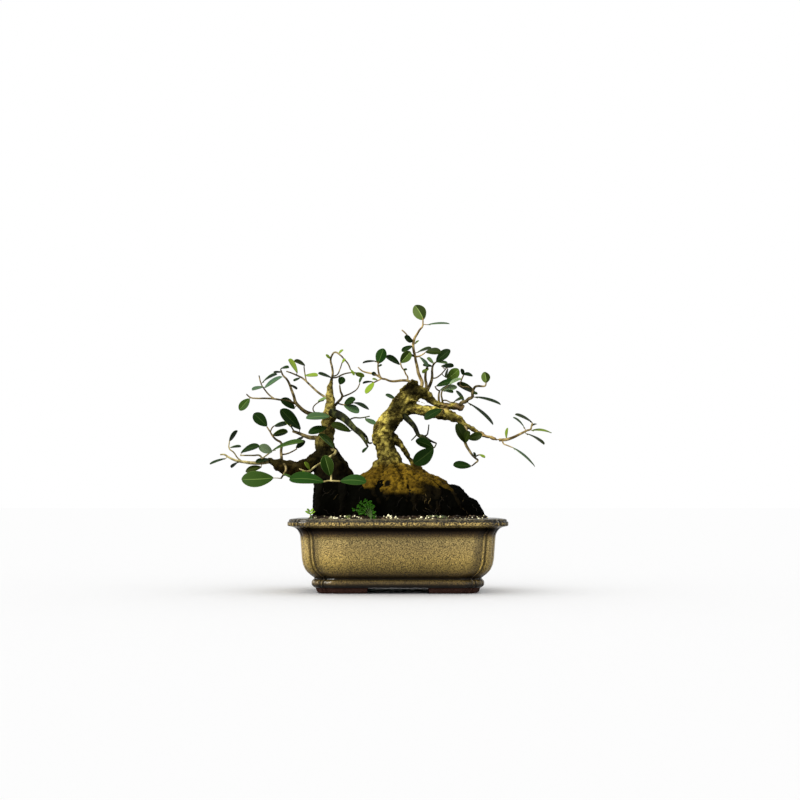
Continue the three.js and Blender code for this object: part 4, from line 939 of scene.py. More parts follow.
# %% Moss
MOSS_PATCHES = [(40, -1, 9), (52, -1, 6), (-60, -1, 5), (20, 1, 10), (-70, 1, 8), (75, 1, 6)]
MOSS_TUFTS = 26
moss_spots = []
for middle_x, side, spread in MOSS_PATCHES:
    for number in range(MOSS_TUFTS):
        x = middle_x + draws.gauss(0, spread / 2)
        y = side * (ball_section(x)[1] + draws.uniform(0.5, 5))
        moss_spots.append(grain_spot(x, y, draws.uniform(0.7, 1.4), flat=0.7, lift=0.2))
moss = scatter(small_stone("moss_tuft", 1, 0.5), moss_spots, "moss")

# %% [markdown]
# Thin dead roots trail over the ball. Each is a short random walk down its skin, from inside
# the soil and back into it, and becomes a tube further down.

# %% Root threads as random walks
THREADS = 60
THREAD_STEPS = 6
threads = []
for number in range(THREADS):
    side = 1 if number % 3 else -1
    x = draws.uniform(-88, 92)
    z = draws.uniform(BALL_BASE + 14, ball_section(x)[0] - 6)
    heading = draws.uniform(-2.6, 2.6)
    points = []
    for step in range(THREAD_STEPS):
        lift = 0.9 if 0 < step < THREAD_STEPS - 1 else -1.2
        points.append(at(x, side * (ball_front(x, z) - lift), z))
        x = min(max(x + heading + draws.uniform(-1.5, 1.5), -96), 98)
        z = min(max(z - draws.uniform(0.4, 3.2), BALL_BASE + 6), ball_section(x)[0] - 4)
    threads.append((points, [0.15, draws.uniform(0.2, 0.4), 0.12]))

# %% Finishes of the soil, the perlite, the bark bits, the moss and the threads
# Moist peat: nearly black with brown crumbs and hardly any shine.
potting_soil = speckled_material(
    "peat_and_bark_mix", 5, 4.0,
    [(0.3, "#060402"), (0.5, "#120D07"), (0.66, "#241A0E"), (0.8, "#3C301C")], 0.9, 0.05,
)
# Perlite: off-white foamed glass with soil rubbed into its pores.
perlite_glass = speckled_material(
    "expanded_perlite", 2.5, 3.0, [(0.3, "#6E6440"), (0.45, "#A8A27C"), (0.65, "#D2CEB2")], 0.8,
)
# Bark bits: dull brown splinters, paler where they broke.
bark_mulch = speckled_material(
    "shredded_bark", 4, 3.0, [(0.35, "#140D07"), (0.55, "#332412"), (0.72, "#574526")], 0.85,
)
# Moss: dull tufts between black-green and olive.
moss_leaf = speckled_material(
    "cushion_moss", 3, 4.0, [(0.35, "#11160A"), (0.52, "#2E3A10"), (0.7, "#56601C")], 0.9,
)
# Dead root threads: dark brown, straw-coloured in places.
root_thread = speckled_material(
    "dry_root_thread", 12, 2.0, [(0.42, "#060403"), (0.56, "#1C1509"), (0.7, "#463A1C")], 0.8, 0.1,
)

settle(soil_bed, "soil_bed", "soil", "potting_soil", potting_soil)
choose(soil_bed)
bpy.ops.object.shade_smooth()
settle(perlite, "perlite_grains", "soil", "potting_soil", perlite_glass)
settle(bark_bits, "bark_bits", "soil", "potting_soil", bark_mulch)
settle(moss, "moss_tufts", "soil", "potting_soil", moss_leaf)

# %% [markdown]
# ## The wood
# A ficus swells where its roots and boughs meet, so the trunks are drawn as thick curves
# that run into each other. Every limb is a Bezier curve with a radius at each point. The
# curves become meshes, a voxel remesh melts them into one skin, a short smoothing rounds the
# joints, and Displace modifiers add knobs and fine cracks.

# %% Limbs as curves
def limb_curve(name, limbs, sides=4):
    """One curve object; each limb is a list of points in the scene and radii in millimetres."""
    curve = bpy.data.curves.new(name, "CURVE")
    curve.dimensions = "3D"
    curve.bevel_depth = MM
    curve.bevel_resolution = sides
    curve.resolution_u = 5
    curve.use_fill_caps = True
    for points, radii in limbs:
        spline = curve.splines.new("BEZIER")
        spline.bezier_points.add(len(points) - 1)
        for step, (point, spot) in enumerate(zip(spline.bezier_points, points)):
            along = step / (len(points) - 1) * (len(radii) - 1)
            before = min(len(radii) - 2, int(along))
            point.co = spot
            point.radius = radii[before] + (radii[before + 1] - radii[before]) * (along - before)
            point.handle_left_type = "AUTO"
            point.handle_right_type = "AUTO"
    obj = bpy.data.objects.new(name, curve)
    bpy.context.collection.objects.link(obj)
    choose(obj)
    bpy.ops.object.convert(target="MESH")
    return bpy.context.object


def placed(readings, radii):
    """A limb read on the middle plane as x, z and depth."""
    return [place(*reading) for reading in readings], radii


def surface_root(route, side, radii, sink=1.5):
    """A root that starts on the ball's top and runs down its front (1) or back (-1) face."""
    raised = [(x, z + READING_RISE) for x, z in route]
    top_x, top_z = raised[0]
    top_y = 0.75 * side * ball_front(top_x, top_z)
    points = [at(top_x, top_y, ball_top(top_x, top_y))]
    points += [at(x, side * (ball_front(x, z) + sink), z) for x, z in raised]
    return points, radii


# %% [markdown]
# The root threads traced over the ball are the first to become such tubes.

# %% Root threads as tubes
thread_mat = limb_curve("thread_mat", threads, sides=0)
settle(thread_mat, "root_threads", "root_ball", "old_root_soil", root_thread)

# %% [markdown]
# The limbs of both trees follow. Each is read along its middle line, from its thick end to
# its thin end, with one radius for each point.

# %% The left tree's limbs
LEFT_LIMBS = [
    placed(
        [(-77, 104, 0), (-77, 112, 0), (-79, 128, 0), (-81, 140, 0), (-83, 150, 1), (-86, 160, 2),
         (-88, 170, 2), (-85, 180, 2), (-83, 192, 1), (-82, 203, 0), (-81, 213, -1), (-81, 222, -1),
         (-82, 232, 0), (-81, 240, 0), (-79, 246, 0)],
        [24, 24, 23, 19.5, 14.5, 12, 10.5, 8.5, 8, 8, 6, 5, 4, 3, 1.8],
    ),
    placed(
        [(-86, 152, 0), (-97, 147, -2), (-108, 141, -6), (-120, 137, -9), (-131, 138, -12), (-141, 141, -14),
         (-149, 145, -15), (-156, 148, -16)],
        [11, 10, 9.5, 9.5, 9.5, 8, 5, 2.6],
    ),
    placed(
        [(-74, 153, -2), (-69.5, 148, -4), (-65, 142.5, -5), (-60.5, 135.5, -6), (-57, 127, -8),
         (-55, 118, -8)],
        [4, 3.6, 3.8, 4.4, 5, 5],
    ),
    placed([(-80, 142, 8), (-90, 130, 16), (-93, 118, 24)], [12, 10, 7]),
]
for side in (1, -1):
    for route in ([(-66, 120), (-64, 108), (-64, 96), (-65, 84)], [(-91, 118), (-92, 104), (-94, 84)]):
        LEFT_LIMBS.append(surface_root(route, side, [6, 6, 5, 4]))

# %% The right tree's limbs
RIGHT_LIMBS = [
    placed(
        [(-12, 130, 0), (-11.5, 141, 0), (-11, 149, 0), (-14, 157, 0), (-16.5, 166, 0), (-18.5, 174, 0),
         (-17, 183, 0), (-12.5, 191, 0), (-6, 199, 0), (0, 207, 0), (6, 216, 0), (13, 224, 0), (22, 229, 0),
         (33, 228, 1)],
        [24, 19, 14, 12, 11.2, 12.5, 13, 12.2, 11.8, 11.5, 11.5, 11.5, 9, 6.5],
    ),
    placed([(8, 226, 1), (17, 237, 1), (20, 243, 1)], [8.5, 7, 4.6]),
    placed(
        [(2, 207, 0), (14, 209.5, -1), (25, 208, -3), (35, 206, -6), (45, 204.5, -9), (55, 202.5, -12),
         (65, 199.5, -15), (73, 195.5, -18), (81, 189.5, -20), (89, 185, -22), (97, 180.5, -24),
         (105, 176.5, -27), (115, 173, -29), (125, 171.2, -30)],
        [9, 6.6, 6.8, 6.2, 6.6, 6.6, 6, 4.8, 3.8, 3.2, 2.8, 2.4, 2, 1.7],
    ),
    placed(
        [(28, 231, 2), (35, 225, 5), (40, 219, 7), (47, 214.5, 8), (56, 212.5, 9), (66, 212, 10),
         (74, 210.5, 10), (79, 209, 10)],
        [7, 5.8, 5, 4.2, 3.8, 3.8, 4.8, 4.3],
    ),
    placed(
        [(-8, 178, 1), (-2, 171, 2), (3, 165, 3), (8, 158, 4), (13, 150, 4), (18, 143, 4), (26, 135, 4)],
        [5.4, 5, 4, 3, 2.8, 3.4, 5],
    ),
    placed([(8, 217, -6), (17, 218.3, -10), (26, 217.6, -14), (33, 215, -16)], [1.6, 1, 0.9, 0.8]),
]
ROOT_RADII = [4.6, 3.8, 3.2, 2.2]
FRONT_ROOTS = [
    [(26, 122), (23, 110), (19, 98), (20, 86)], [(38, 120), (48, 109), (45, 98), (48, 84)],
    [(-8, 122), (-9, 110), (-13, 98)], [(8, 122), (9, 108), (11, 96)],
    [(-32, 118), (-28, 107), (-20, 94)], [(45, 120), (60, 112), (69, 101), (74, 86)],
]
BACK_ROOTS = [
    [(34, 120), (40, 106), (38, 86)], [(4, 122), (1, 106), (6, 92)], [(-30, 118), (-33, 104), (-28, 90)],
]
RIGHT_LIMBS += [surface_root(route, 1, ROOT_RADII) for route in FRONT_ROOTS]
RIGHT_LIMBS += [surface_root(route, -1, ROOT_RADII) for route in BACK_ROOTS]

# %% [markdown]
# The roots of the right tree have grown together into a skirt over the ball. It is a fan of
# ridges round the trunk's foot, pulled in rings from the hem up to the trunk.

# %% The golden skirt
SKIRT_X = -11
SKIRT_RIDGES = 9
SKIRT_SPOKES = 120
SKIRT_DEPTH = 54
SKIRT_THICKNESS = 14
SKIRT_REACH = 37
SKIRT_RIGHT_REACH = 30
RIDGE_REACH = 5
RIDGE_HEIGHT = 2.2
FINE_RIDGES = 23
FINE_HEIGHT = 0.7


def skirt_ring(share, rise):
    """A ring of the skirt at a share of its reach, standing rise over the ball's skin."""
    ring = []
    for spoke in range(SKIRT_SPOKES):
        angle = 2 * math.pi * spoke / SKIRT_SPOKES
        ridge = math.cos(SKIRT_RIDGES * angle + 1.2 * math.sin(2 * angle) + 0.9 * share)
        fine = math.cos(FINE_RIDGES * angle + 2 * math.sin(3 * angle) + 2 * share)
        rightward = ((1 + math.cos(angle)) / 2) ** 1.5
        reach = (SKIRT_REACH + SKIRT_RIGHT_REACH * rightward + RIDGE_REACH * ridge) * share
        x = SKIRT_X + reach * math.cos(angle)
        y = max(-SKIRT_DEPTH, min(SKIRT_DEPTH, 1.35 * reach * math.sin(angle)))
        relief = (RIDGE_HEIGHT * ridge + FINE_HEIGHT * fine) * min(1, 2.5 * share)
        height = -SKIRT_THICKNESS if rise is None else rise + relief
        ring.append(at(x, y, ball_top(x, y) + height))
    return ring


SKIRT_RISES = [
    (0.7, None), (0.97, -6), (1, -3), (0.96, -0.6), (0.9, 1.6), (0.85, 2.8), (0.76, 3.8), (0.66, 4.5),
    (0.58, 5), (0.48, 6), (0.38, 7.2), (0.3, 8.5), (0.2, 9.5), (0.1, 10),
]
skirt = pull_rings("skirt", [skirt_ring(*row) for row in SKIRT_RISES])

# %% Melting the wood together
VOXEL = 1.25
KNOB_DEPTH = 4.6
CRACK_DEPTH = 1.0
knobs = cloud_texture("bark_knobs", 7, noise_depth=1)
cracks = cloud_texture("bark_cracks", 2.4, noise_depth=1)


def melt(name, parts):
    """Several closed meshes as one smooth skin with knobs and cracks in its bark."""
    wood = join(name, parts)
    apply_modifier(wood, "REMESH", mode="VOXEL", voxel_size=VOXEL * MM)
    apply_modifier(wood, "SMOOTH", factor=0.5, iterations=6)
    roughen(wood, knobs, KNOB_DEPTH)
    roughen(wood, cracks, CRACK_DEPTH)
    choose(wood)
    bpy.ops.object.shade_smooth()
    return wood


left_wood = melt("left_wood", [limb_curve("left_limbs", LEFT_LIMBS, sides=6)])
right_wood = melt("right_wood", [limb_curve("right_limbs", RIGHT_LIMBS, sides=6), skirt])

# %% [markdown]
# Bark isn't one colour. Ridges that catch sun and fingers are worn golden, the cut head is old
# and dark, the far boughs are pinkish, and the roots over the ball are browner, because wet
# soil stains them. Hollows, undersides, and above the skirt the faces turned to the right, are
# painted black-brown: painted shade. Four facts about each point are written into a colour
# attribute: how deep it lies in a hollow, how dark it is (its part of the tree, with the
# painted shade), how pale, and how much soil has stained it. The shader mixes by them.

# %% Marks for the bark shader
def smooth_step(value):
    """Zero below 0, one above 1, and an easy curve between."""
    value = min(max(value, 0), 1)
    return value * value * (3 - 2 * value)


ABOVE_SKIRT = 132
STAIN_TOP = 150
STAIN_FADE = 14


def strongest(places, x, z, wander):
    """The strongest of the marks at x, z; each has its middle, its radius and its amount."""
    mark = 0
    for place_x, place_z, radius, amount in places:
        away = math.hypot(x - place_x, z - place_z) + wander
        mark = max(mark, amount * smooth_step(1.6 - 1.1 * away / radius))
    return mark


def mark_bark(wood, dark_places, pale_places, base_dark):
    """Write hollow, dark, pale and stained into the attribute bark_marks; hollow and much of dark are painted
    shade.
    """
    mesh = wood.data
    marks = mesh.color_attributes.new("bark_marks", "FLOAT_COLOR", "POINT")
    for vertex, depth, mark in zip(mesh.vertices, hollows_of(mesh, 5), marks.data):
        # How deep the point lies in a hollow, for painted shade there.
        hollow = smooth_step(0.4 + depth / 1.3)
        x = (vertex.co.x - POT_MIDDLE) / MM
        z = vertex.co.z / MM - READING_RISE
        wander = 5 * noise.noise(vertex.co / (9 * MM))
        dark = max(base_dark(x, z), strongest(dark_places, x, z, wander))
        # Undersides get painted shade.
        dark = max(dark, 0.8 * smooth_step(-1.6 * vertex.normal.z - 0.1))
        # Above the skirt, faces turned to the right, away from the lamps, get painted shade.
        if z > ABOVE_SKIRT:
            dark = max(dark, 0.6 * smooth_step(1.5 * vertex.normal.x - 0.3))
        pale = strongest(pale_places, x, z, wander)
        stained = smooth_step((STAIN_TOP - z + wander) / STAIN_FADE)
        mark.color = (hollow, dark, pale, stained)
    print(wood.name, "faces:", len(mesh.polygons))


def left_dark(x, z):
    """The foot is nearly black, the low bough dark brown, and the trunk turns golden above them."""
    foot = 0.99 - 0.035 * smooth_step((z - 122) / 8) - 0.09 * smooth_step((-96 - x) / 12)
    return foot - 0.43 * smooth_step((z - 158) / 14) - 0.42 * smooth_step((z - 176) / 24)


def right_dark(x, z):
    """The trunk is golden, the skirt darkens to the right, and roots at the ball's foot are dark."""
    hem = 113 + 6 * smooth_step((-15 - x) / 12)
    foot = 0.988 * smooth_step((hem - z) / 8)
    under_ridge = ball_section(x)[0] - READING_RISE - z
    right_hem = 0.98 * smooth_step((x - 11) / 24) * smooth_step((under_ridge - 1) / 9)
    return max(foot, right_hem)


# Each dark place darkens the bark round a point: dark bark in part, and painted shade where it marks a
# hollow.
LEFT_DARK_PLACES = [(-88, 176, 7, 0.6), (-76, 192, 6, 0.5)]
LEFT_PALE_PLACES = [(-122, 150, 9, 0.5)]
RIGHT_DARK_PLACES = [
    (-2, 210, 9, 0.85), (-5, 187, 9, 0.9), (8, 176, 8, 0.8), (17, 232, 11, 0.95), (28, 225, 8, 0.9),
    (40, 218, 6, 0.7), (2, 226, 5, 0.5), (46, 198, 8, 0.8), (64, 195, 8, 0.8), (-20, 152, 5, 0.6),
    (12, 152, 9, 0.9), (22, 140, 7, 0.8), (-12, 119.5, 1.8, 1.0), (-8, 146, 4, 0.7), (-6, 158, 6, 0.6),
    (-21, 154, 4, 0.5), (-34, 126, 13, 0.35), (-16, 160, 3, 0.6), (-12, 171, 3, 0.6), (60, 112, 16, 0.7),
    (84, 183, 8, 0.7), (30, 202, 5, 0.7), (72, 192, 6, 0.7), (4, 213, 7, 0.6), (-1, 200, 6, 0.6),
    (-9, 185, 5, 0.5), (-14, 147, 13, 0.45),
]
RIGHT_PALE_PLACES = [(75, 210, 8, 0.7), (112, 174, 18, 0.7), (56, 213, 6, 0.4)]
mark_bark(left_wood, LEFT_DARK_PLACES, LEFT_PALE_PLACES, left_dark)
mark_bark(right_wood, RIGHT_DARK_PLACES, RIGHT_PALE_PLACES, right_dark)

# %% [markdown]
# Wide patches, squeezed by the growth rings, run from golden ridge to dark hollow. The marks
# and freckles of cork are laid over them one by one.

# %% Bark
LICHEN = 11 * MM
FRECKLE = 1.3 * MM
RING_SQUEEZE = 1.7
SOIL_FILM = 0.6
FILM_TONE = "#7A6E34"


def bark_material(name, ridge, body, hollow, deep, pale, stain):
    """Ficus bark: thin and matt, ringed by growth, with freckles of cork a millimetre wide."""
    material, tree, shader = new_material(name)
    where = add_node(tree, "ShaderNodeTexCoord").outputs["Object"]
    marks = add_node(tree, "ShaderNodeAttribute", attribute_name="bark_marks")
    mark = add_node(tree, "ShaderNodeSeparateColor", {0: marks.outputs["Color"]})
    banded = add_node(tree, "ShaderNodeMapping", {"Vector": where, "Scale": (1, 1, RING_SQUEEZE)})
    lichen = add_node(
        tree, "ShaderNodeTexNoise",
        {"Vector": banded.outputs[0], "Scale": 1 / LICHEN, "Detail": 5.0, "Roughness": 0.68},
    )
    freckle = add_node(
        tree, "ShaderNodeTexNoise",
        {"Vector": where, "Scale": 1 / FRECKLE, "Detail": 3.0, "Roughness": 0.65},
    )
    skin = add_node(
        tree, "ShaderNodeValToRGB", {0: lichen.outputs["Fac"]},
        stops=[(0.36, hollow), (0.46, body), (0.57, ridge), (0.68, body), (0.78, hollow)],
    )
    film = add_node(
        tree, "ShaderNodeMath", {0: marks.outputs["Alpha"], 1: SOIL_FILM}, operation="MULTIPLY",
    )
    evened = add_node(
        tree, "ShaderNodeMix", {0: film.outputs[0], 6: skin.outputs[0], 7: rgb(FILM_TONE)}, data_type="RGBA",
    )
    # Hollows take the hollow colour: painted shade.
    shaded = add_node(
        tree, "ShaderNodeMix", {0: mark.outputs[0], 6: evened.outputs[2], 7: rgb(hollow)}, data_type="RGBA",
    )
    sun = add_node(
        tree, "ShaderNodeMapRange",
        {"Value": freckle.outputs["Fac"], "From Min": 0.55, "From Max": 0.7, "To Max": 0.45},
    )
    freckled = add_node(
        tree, "ShaderNodeMix", {0: sun.outputs[0], 6: shaded.outputs[2], 7: rgb(ridge)}, data_type="RGBA",
    )
    bleached = add_node(
        tree, "ShaderNodeMix", {0: mark.outputs[2], 6: freckled.outputs[2], 7: rgb(pale)}, data_type="RGBA",
    )
    stained = add_node(
        tree, "ShaderNodeMix", {0: marks.outputs["Alpha"], 6: bleached.outputs[2], 7: rgb(stain)},
        data_type="RGBA", blend_type="MULTIPLY",
    )
    grime = add_node(
        tree, "ShaderNodeMapRange",
        {"Value": freckle.outputs["Fac"], "From Min": 0.46, "From Max": 0.32, "To Max": 0.6},
    )
    grimy = add_node(
        tree, "ShaderNodeMix", {0: grime.outputs[0], 6: stained.outputs[2], 7: rgb(deep)}, data_type="RGBA",
    )
    # The dark mark lays painted shade on undersides, right-facing faces and dark places, with the darker foot
    # and skirt.
    darkened = add_node(
        tree, "ShaderNodeMix", {0: mark.outputs[1], 6: grimy.outputs[2], 7: rgb(deep)}, data_type="RGBA",
    )
    tree.links.new(darkened.outputs[2], shader.inputs["Base Color"])
    shader.inputs["Roughness"].default_value = 0.8
    shader.inputs["Specular IOR Level"].default_value = 0.015
    bump = add_node(
        tree, "ShaderNodeBump", {"Height": freckle.outputs["Fac"], "Strength": 0.9, "Distance": 0.9 * MM},
    )
    tree.links.new(bump.outputs[0], shader.inputs["Normal"])
    return material


golden_bark = bark_material(
    "golden_ficus_bark", "#A29548", "#564B1E", "#1B1506", "#040301", "#7A6446", "#AA955C",
)
dark_bark = bark_material(
    "dark_ficus_bark", "#8E8242", "#504620", "#1E1909", "#020201", "#8A7A54", "#A08C5A",
)
settle(left_wood, "left_trunk_wood", "left_trunk", "dark_bark", dark_bark)
settle(right_wood, "right_trunk_wood", "right_trunk", "golden_bark", golden_bark)

# %% [markdown]
# ## Leafy stems
# Each stem of the plant is one group: its twigs, and the leaves on them. A twig is given by
# its first and last radius and by points read as x, z and depth. A leaf is given by the
# readings of its base and its tip, by the width that the front view sees, by how much deeper
# its tip lies than its joint, and by a tone.

# %% The left tree's stems
LEFT_SPRAYS = {
    "left_low_spray": {
        "twigs": [
            (2.4, 0.8, [
                (-152, 146, -15), (-165, 144, -20), (-175, 144, -22), (-183, 145, -24), (-190, 146, -26),
                (-197, 148, -28), (-203, 151, -30), (-208, 154, -31), (-213, 154, -32),
            ]),
            (1.3, 0.8, [
                (-165, 144, -20), (-163, 149, -19), (-166, 153, -19), (-172, 153, -20), (-180, 153, -22),
                (-189, 153, -23),
            ]),
            (0.9, 0.8, [
                (-163, 149, -19), (-157, 153.5, -17), (-151, 158, -16),
            ]),
            (0.9, 0.7, [
                (-187, 146, -25), (-192, 150, -25), (-197, 157, -26), (-202, 161, -26), (-202, 170, -26),
            ]),
        ],
        "leaves": [
            (-206, 149, -225, 142, 2.6, -8, "dark"), (-202, 170, -192, 182, 5, 10, "dark"),
            (-201, 162, -188, 163, 3, 8, "grey"), (-188, 156, -166, 164, 7, -6, "dark"),
            (-151, 157, -167, 163.5, 11, -12, "sheen"), (-151, 158, -113, 169, 5, -6, "mid"),
            (-153, 148, -170, 144, 5, -12, "dark"), (-163, 139, -182, 133, 7, -4, "olive"),
            (-190, 145, -199, 138, 3, 10, "dark"),
        ],
    },
    "left_big_leaf_spray": {
        "twigs": [
            (1.7, 1, [
                (-139, 144, -16), (-135, 141, -24), (-134, 136, -31), (-137, 130, -38),
                (-140, 125.5, -42),
            ]),
        ],
        "leaves": [
            (-149, 126, -187, 124, 19, -2, "mid"), (-137, 131, -129, 126, 3, -8, "mid"),
        ],
    },
    "left_rise_spray": {
        "twigs": [
            (1.8, 0.9, [
                (-139, 146, -9), (-140, 158, -1), (-140, 168, 4), (-146, 172, 6), (-150, 176, 7),
                (-153, 181, 8), (-157, 187, 8),
            ]),
            (0.8, 0.8, [
                (-153, 181, 8), (-151, 186, 8), (-149, 188, 8),
            ]),
            (1, 0.8, [
                (-140, 154, -2), (-133, 155, 2), (-126, 158, 5), (-121, 161, 7),
            ]),
        ],
        "leaves": [
            (-157, 188, -173, 203, 14, 2, "dark"), (-148, 188.5, -133, 190, 6, 14, "grey"),
            (-150, 177, -132, 181, 8, 10, "fresh"), (-122, 162, -111, 170, 7, 8, "dark"),
        ],
    },
    "left_mid_spray": {
        "twigs": [
            (3.2, 1.6, [
                (-88, 171, 6), (-98, 174, 12), (-106, 174.5, 17), (-113, 177, 21), (-120, 180, 25),
                (-126, 182, 28),
            ]),
            (1.1, 0.8, [
                (-124, 181, 27), (-129, 189, 14),
            ]),
        ],
        "leaves": [
            (-129, 187, -137, 200, 6.5, 4, "young"), (-117, 184, -141, 208, 14, -5, "dark"),
            (-112, 176, -121, 169, 3.5, 10, "dark"),
        ],
    },
    "left_upper_spray": {
        "twigs": [
            (2.8, 0.9, [
                (-84, 202, -4), (-95, 202, -8), (-105, 203, -10), (-112, 206, -12), (-118, 211, -14),
                (-123, 217, -16), (-125, 224, -17), (-128, 232, -18), (-131, 240, -20), (-134, 245, -21),
                (-138, 249, -22), (-141, 256, -23),
            ]),
            (1.3, 0.8, [
                (-121, 214, -15), (-130, 218, -20), (-143, 220, -26), (-150, 221, -30),
                (-160, 221.5, -34), (-170, 221.5, -37), (-177, 222.5, -38), (-182, 226.5, -38),
            ]),
            (1, 0.7, [
                (-148, 220.5, -29), (-155, 226, -29), (-160, 232, -28), (-164, 238, -27),
                (-167, 249, -26),
            ]),
            (1, 0.8, [
                (-86, 202, -5), (-84, 201, -11), (-82, 199.5, -15),
            ]),
            (0.8, 0.7, [
                (-97, 202, -9), (-102, 209, -14), (-95, 217, -17), (-89, 219, -18),
            ]),
        ],
        "leaves": [
            (-141, 257, -131, 258, 3, -8, "dark"), (-140, 253, -149, 252, 2.6, 8, "dark"),
            (-178, 221, -190, 207, 10, -5, "mid"), (-160, 234, -139, 247, 5, -6, "teal"),
            (-163, 240, -145, 250, 3, 10, "teal"), (-161, 235, -175, 231, 4, -10, "teal"),
            (-124, 209, -141, 220, 10, -10, "dark"), (-82, 199.5, -110, 197, 9, -10, "grey"),
            (-96, 218, -86, 221, 3, -6, "pale"), (-131, 238, -122, 232, 3, 12, "dark"),
        ],
    },
    "left_trunk_leaf": {
        "twigs": [
            (1.2, 0.9, [
                (-82, 190, -5), (-83, 188, -12), (-84, 187, -15),
            ]),
        ],
        "leaves": [
            (-85, 186.5, -107, 179, 9, -8, "dark"),
        ],
    },
    "left_front_spray": {
        "twigs": [
            (1.8, 0.8, [
                (-82, 160, -7), (-75, 158.5, -17), (-76, 155, -25), (-82, 151, -34), (-92, 144, -43),
                (-100, 139, -49), (-107, 134, -54), (-112, 134.5, -57), (-118, 137, -59),
            ]),
            (1.3, 1, [
                (-82, 151, -34), (-82, 141, -46), (-80, 131, -57), (-80, 122.5, -65),
            ]),
            (1, 1, [
                (-89, 121.5, -66), (-84, 122.5, -65), (-76, 122.5, -65), (-69, 122, -66),
            ]),
        ],
        "leaves": [
            (-89, 121, -130, 124, 14, -6, "deep"), (-69, 122, -38, 121, 12, -6, "deep"),
            (-81, 129, -88, 153, 15, -10, "fresh"), (-77, 162, -95, 178, 7, -8, "fresh"),
            (-106, 136, -112, 145, 4, -5, "young"), (-114, 135, -111, 129, 3, -4, "young"),
        ],
    },
    "left_diagonal_spray": {
        "twigs": [
            (1.5, 0.8, [
                (-82, 220, 2), (-95, 228, 10), (-105, 237, 16), (-115, 246, 22), (-120, 248.5, 25),
                (-128, 252, 28), (-134, 254, 30),
            ]),
            (0.8, 0.7, [
                (-110, 241.5, 19), (-112, 252, 19), (-113, 260, 18),
            ]),
        ],
        "leaves": [
            (-121, 252, -132, 268, 6, 10, "light"), (-112, 261, -125, 266, 5, -10, "olive"),
            (-112, 249, -97, 248, 4.5, -14, "young"), (-118, 246, -125, 242, 3, -8, "dark"),
        ],
    },
    "left_top_spray": {
        "twigs": [
            (1.5, 0.8, [
                (-80.5, 243, 0), (-78.5, 250, -1), (-79, 258, -2), (-81, 268, -3), (-79.5, 273, -4),
                (-76, 277, -4), (-70, 274, -5), (-65, 269, -6), (-60, 263, -7), (-57, 256, -8),
            ]),
            (0.9, 0.7, [
                (-78.5, 248, -1), (-73, 250, -4), (-70, 256, -6), (-67, 265, -8),
            ]),
            (1, 0.8, [
                (-79.5, 246, 0), (-73, 247, 4), (-67, 250, 6), (-60, 252, 8), (-51, 252.5, 10),
            ]),
        ],
        "leaves": [
            (-80, 246, -96, 251, 3.6, -10, "dark"), (-51, 252, -41, 247, 6, 10, "light"),
            (-81, 269, -87, 274, 3, -3, "young"), (-57, 256, -53, 249, 3, -3, "light"),
            (-67, 264, -63, 269, 2.6, -4, "young"), (-71, 275, -66, 280, 2.6, 3, "light"),
        ],
    },
    "left_inner_spray": {
        "twigs": [
            (2, 0.9, [
                (-81, 208, 3), (-72, 217, 9), (-67, 224, 12), (-69, 230, 13), (-70, 237, 14),
            ]),
            (1, 0.7, [
                (-68, 223, 12), (-60, 226, 15), (-54, 229, 18), (-49, 233, 20), (-46, 239, 21),
            ]),
            (1, 0.8, [
                (-73, 216, 8), (-67, 214, 2), (-62, 214, -1), (-54, 216, -3),
            ]),
        ],
        "leaves": [
            (-70, 238, -66, 247, 9, 4, "dark"), (-64, 215.5, -51, 220, 8, -12, "dark"),
            (-65, 213, -47, 204, 9, -8, "grey"), (-53, 216, -35, 208, 4, 6, "dark"),
            (-46, 240, -43, 248, 3, 5, "mid"),
        ],
    },
    "left_right_spray": {
        "twigs": [
            (5.6, 1.1, [
                (-80, 205, -4), (-65, 198, -15), (-57, 190, -21), (-50, 183, -26), (-45, 178, -29),
                (-40, 171, -32), (-36, 163, -34),
            ]),
            (2.2, 0.9, [
                (-56, 189, -22), (-45, 182, -22), (-38, 175, -23), (-35, 168, -26), (-31, 168, -28),
            ]),
            (1, 0.7, [
                (-61, 194, -18), (-53, 198, -22), (-45, 198, -26), (-34, 200, -30),
            ]),
        ],
        "leaves": [
            (-57, 181.5, -80, 190, 9, -6, "olive"), (-39, 197, -28, 190, 6, -12, "grey"),
            (-36, 163, -42, 156, 3, -6, "dark"),
        ],
    },
}

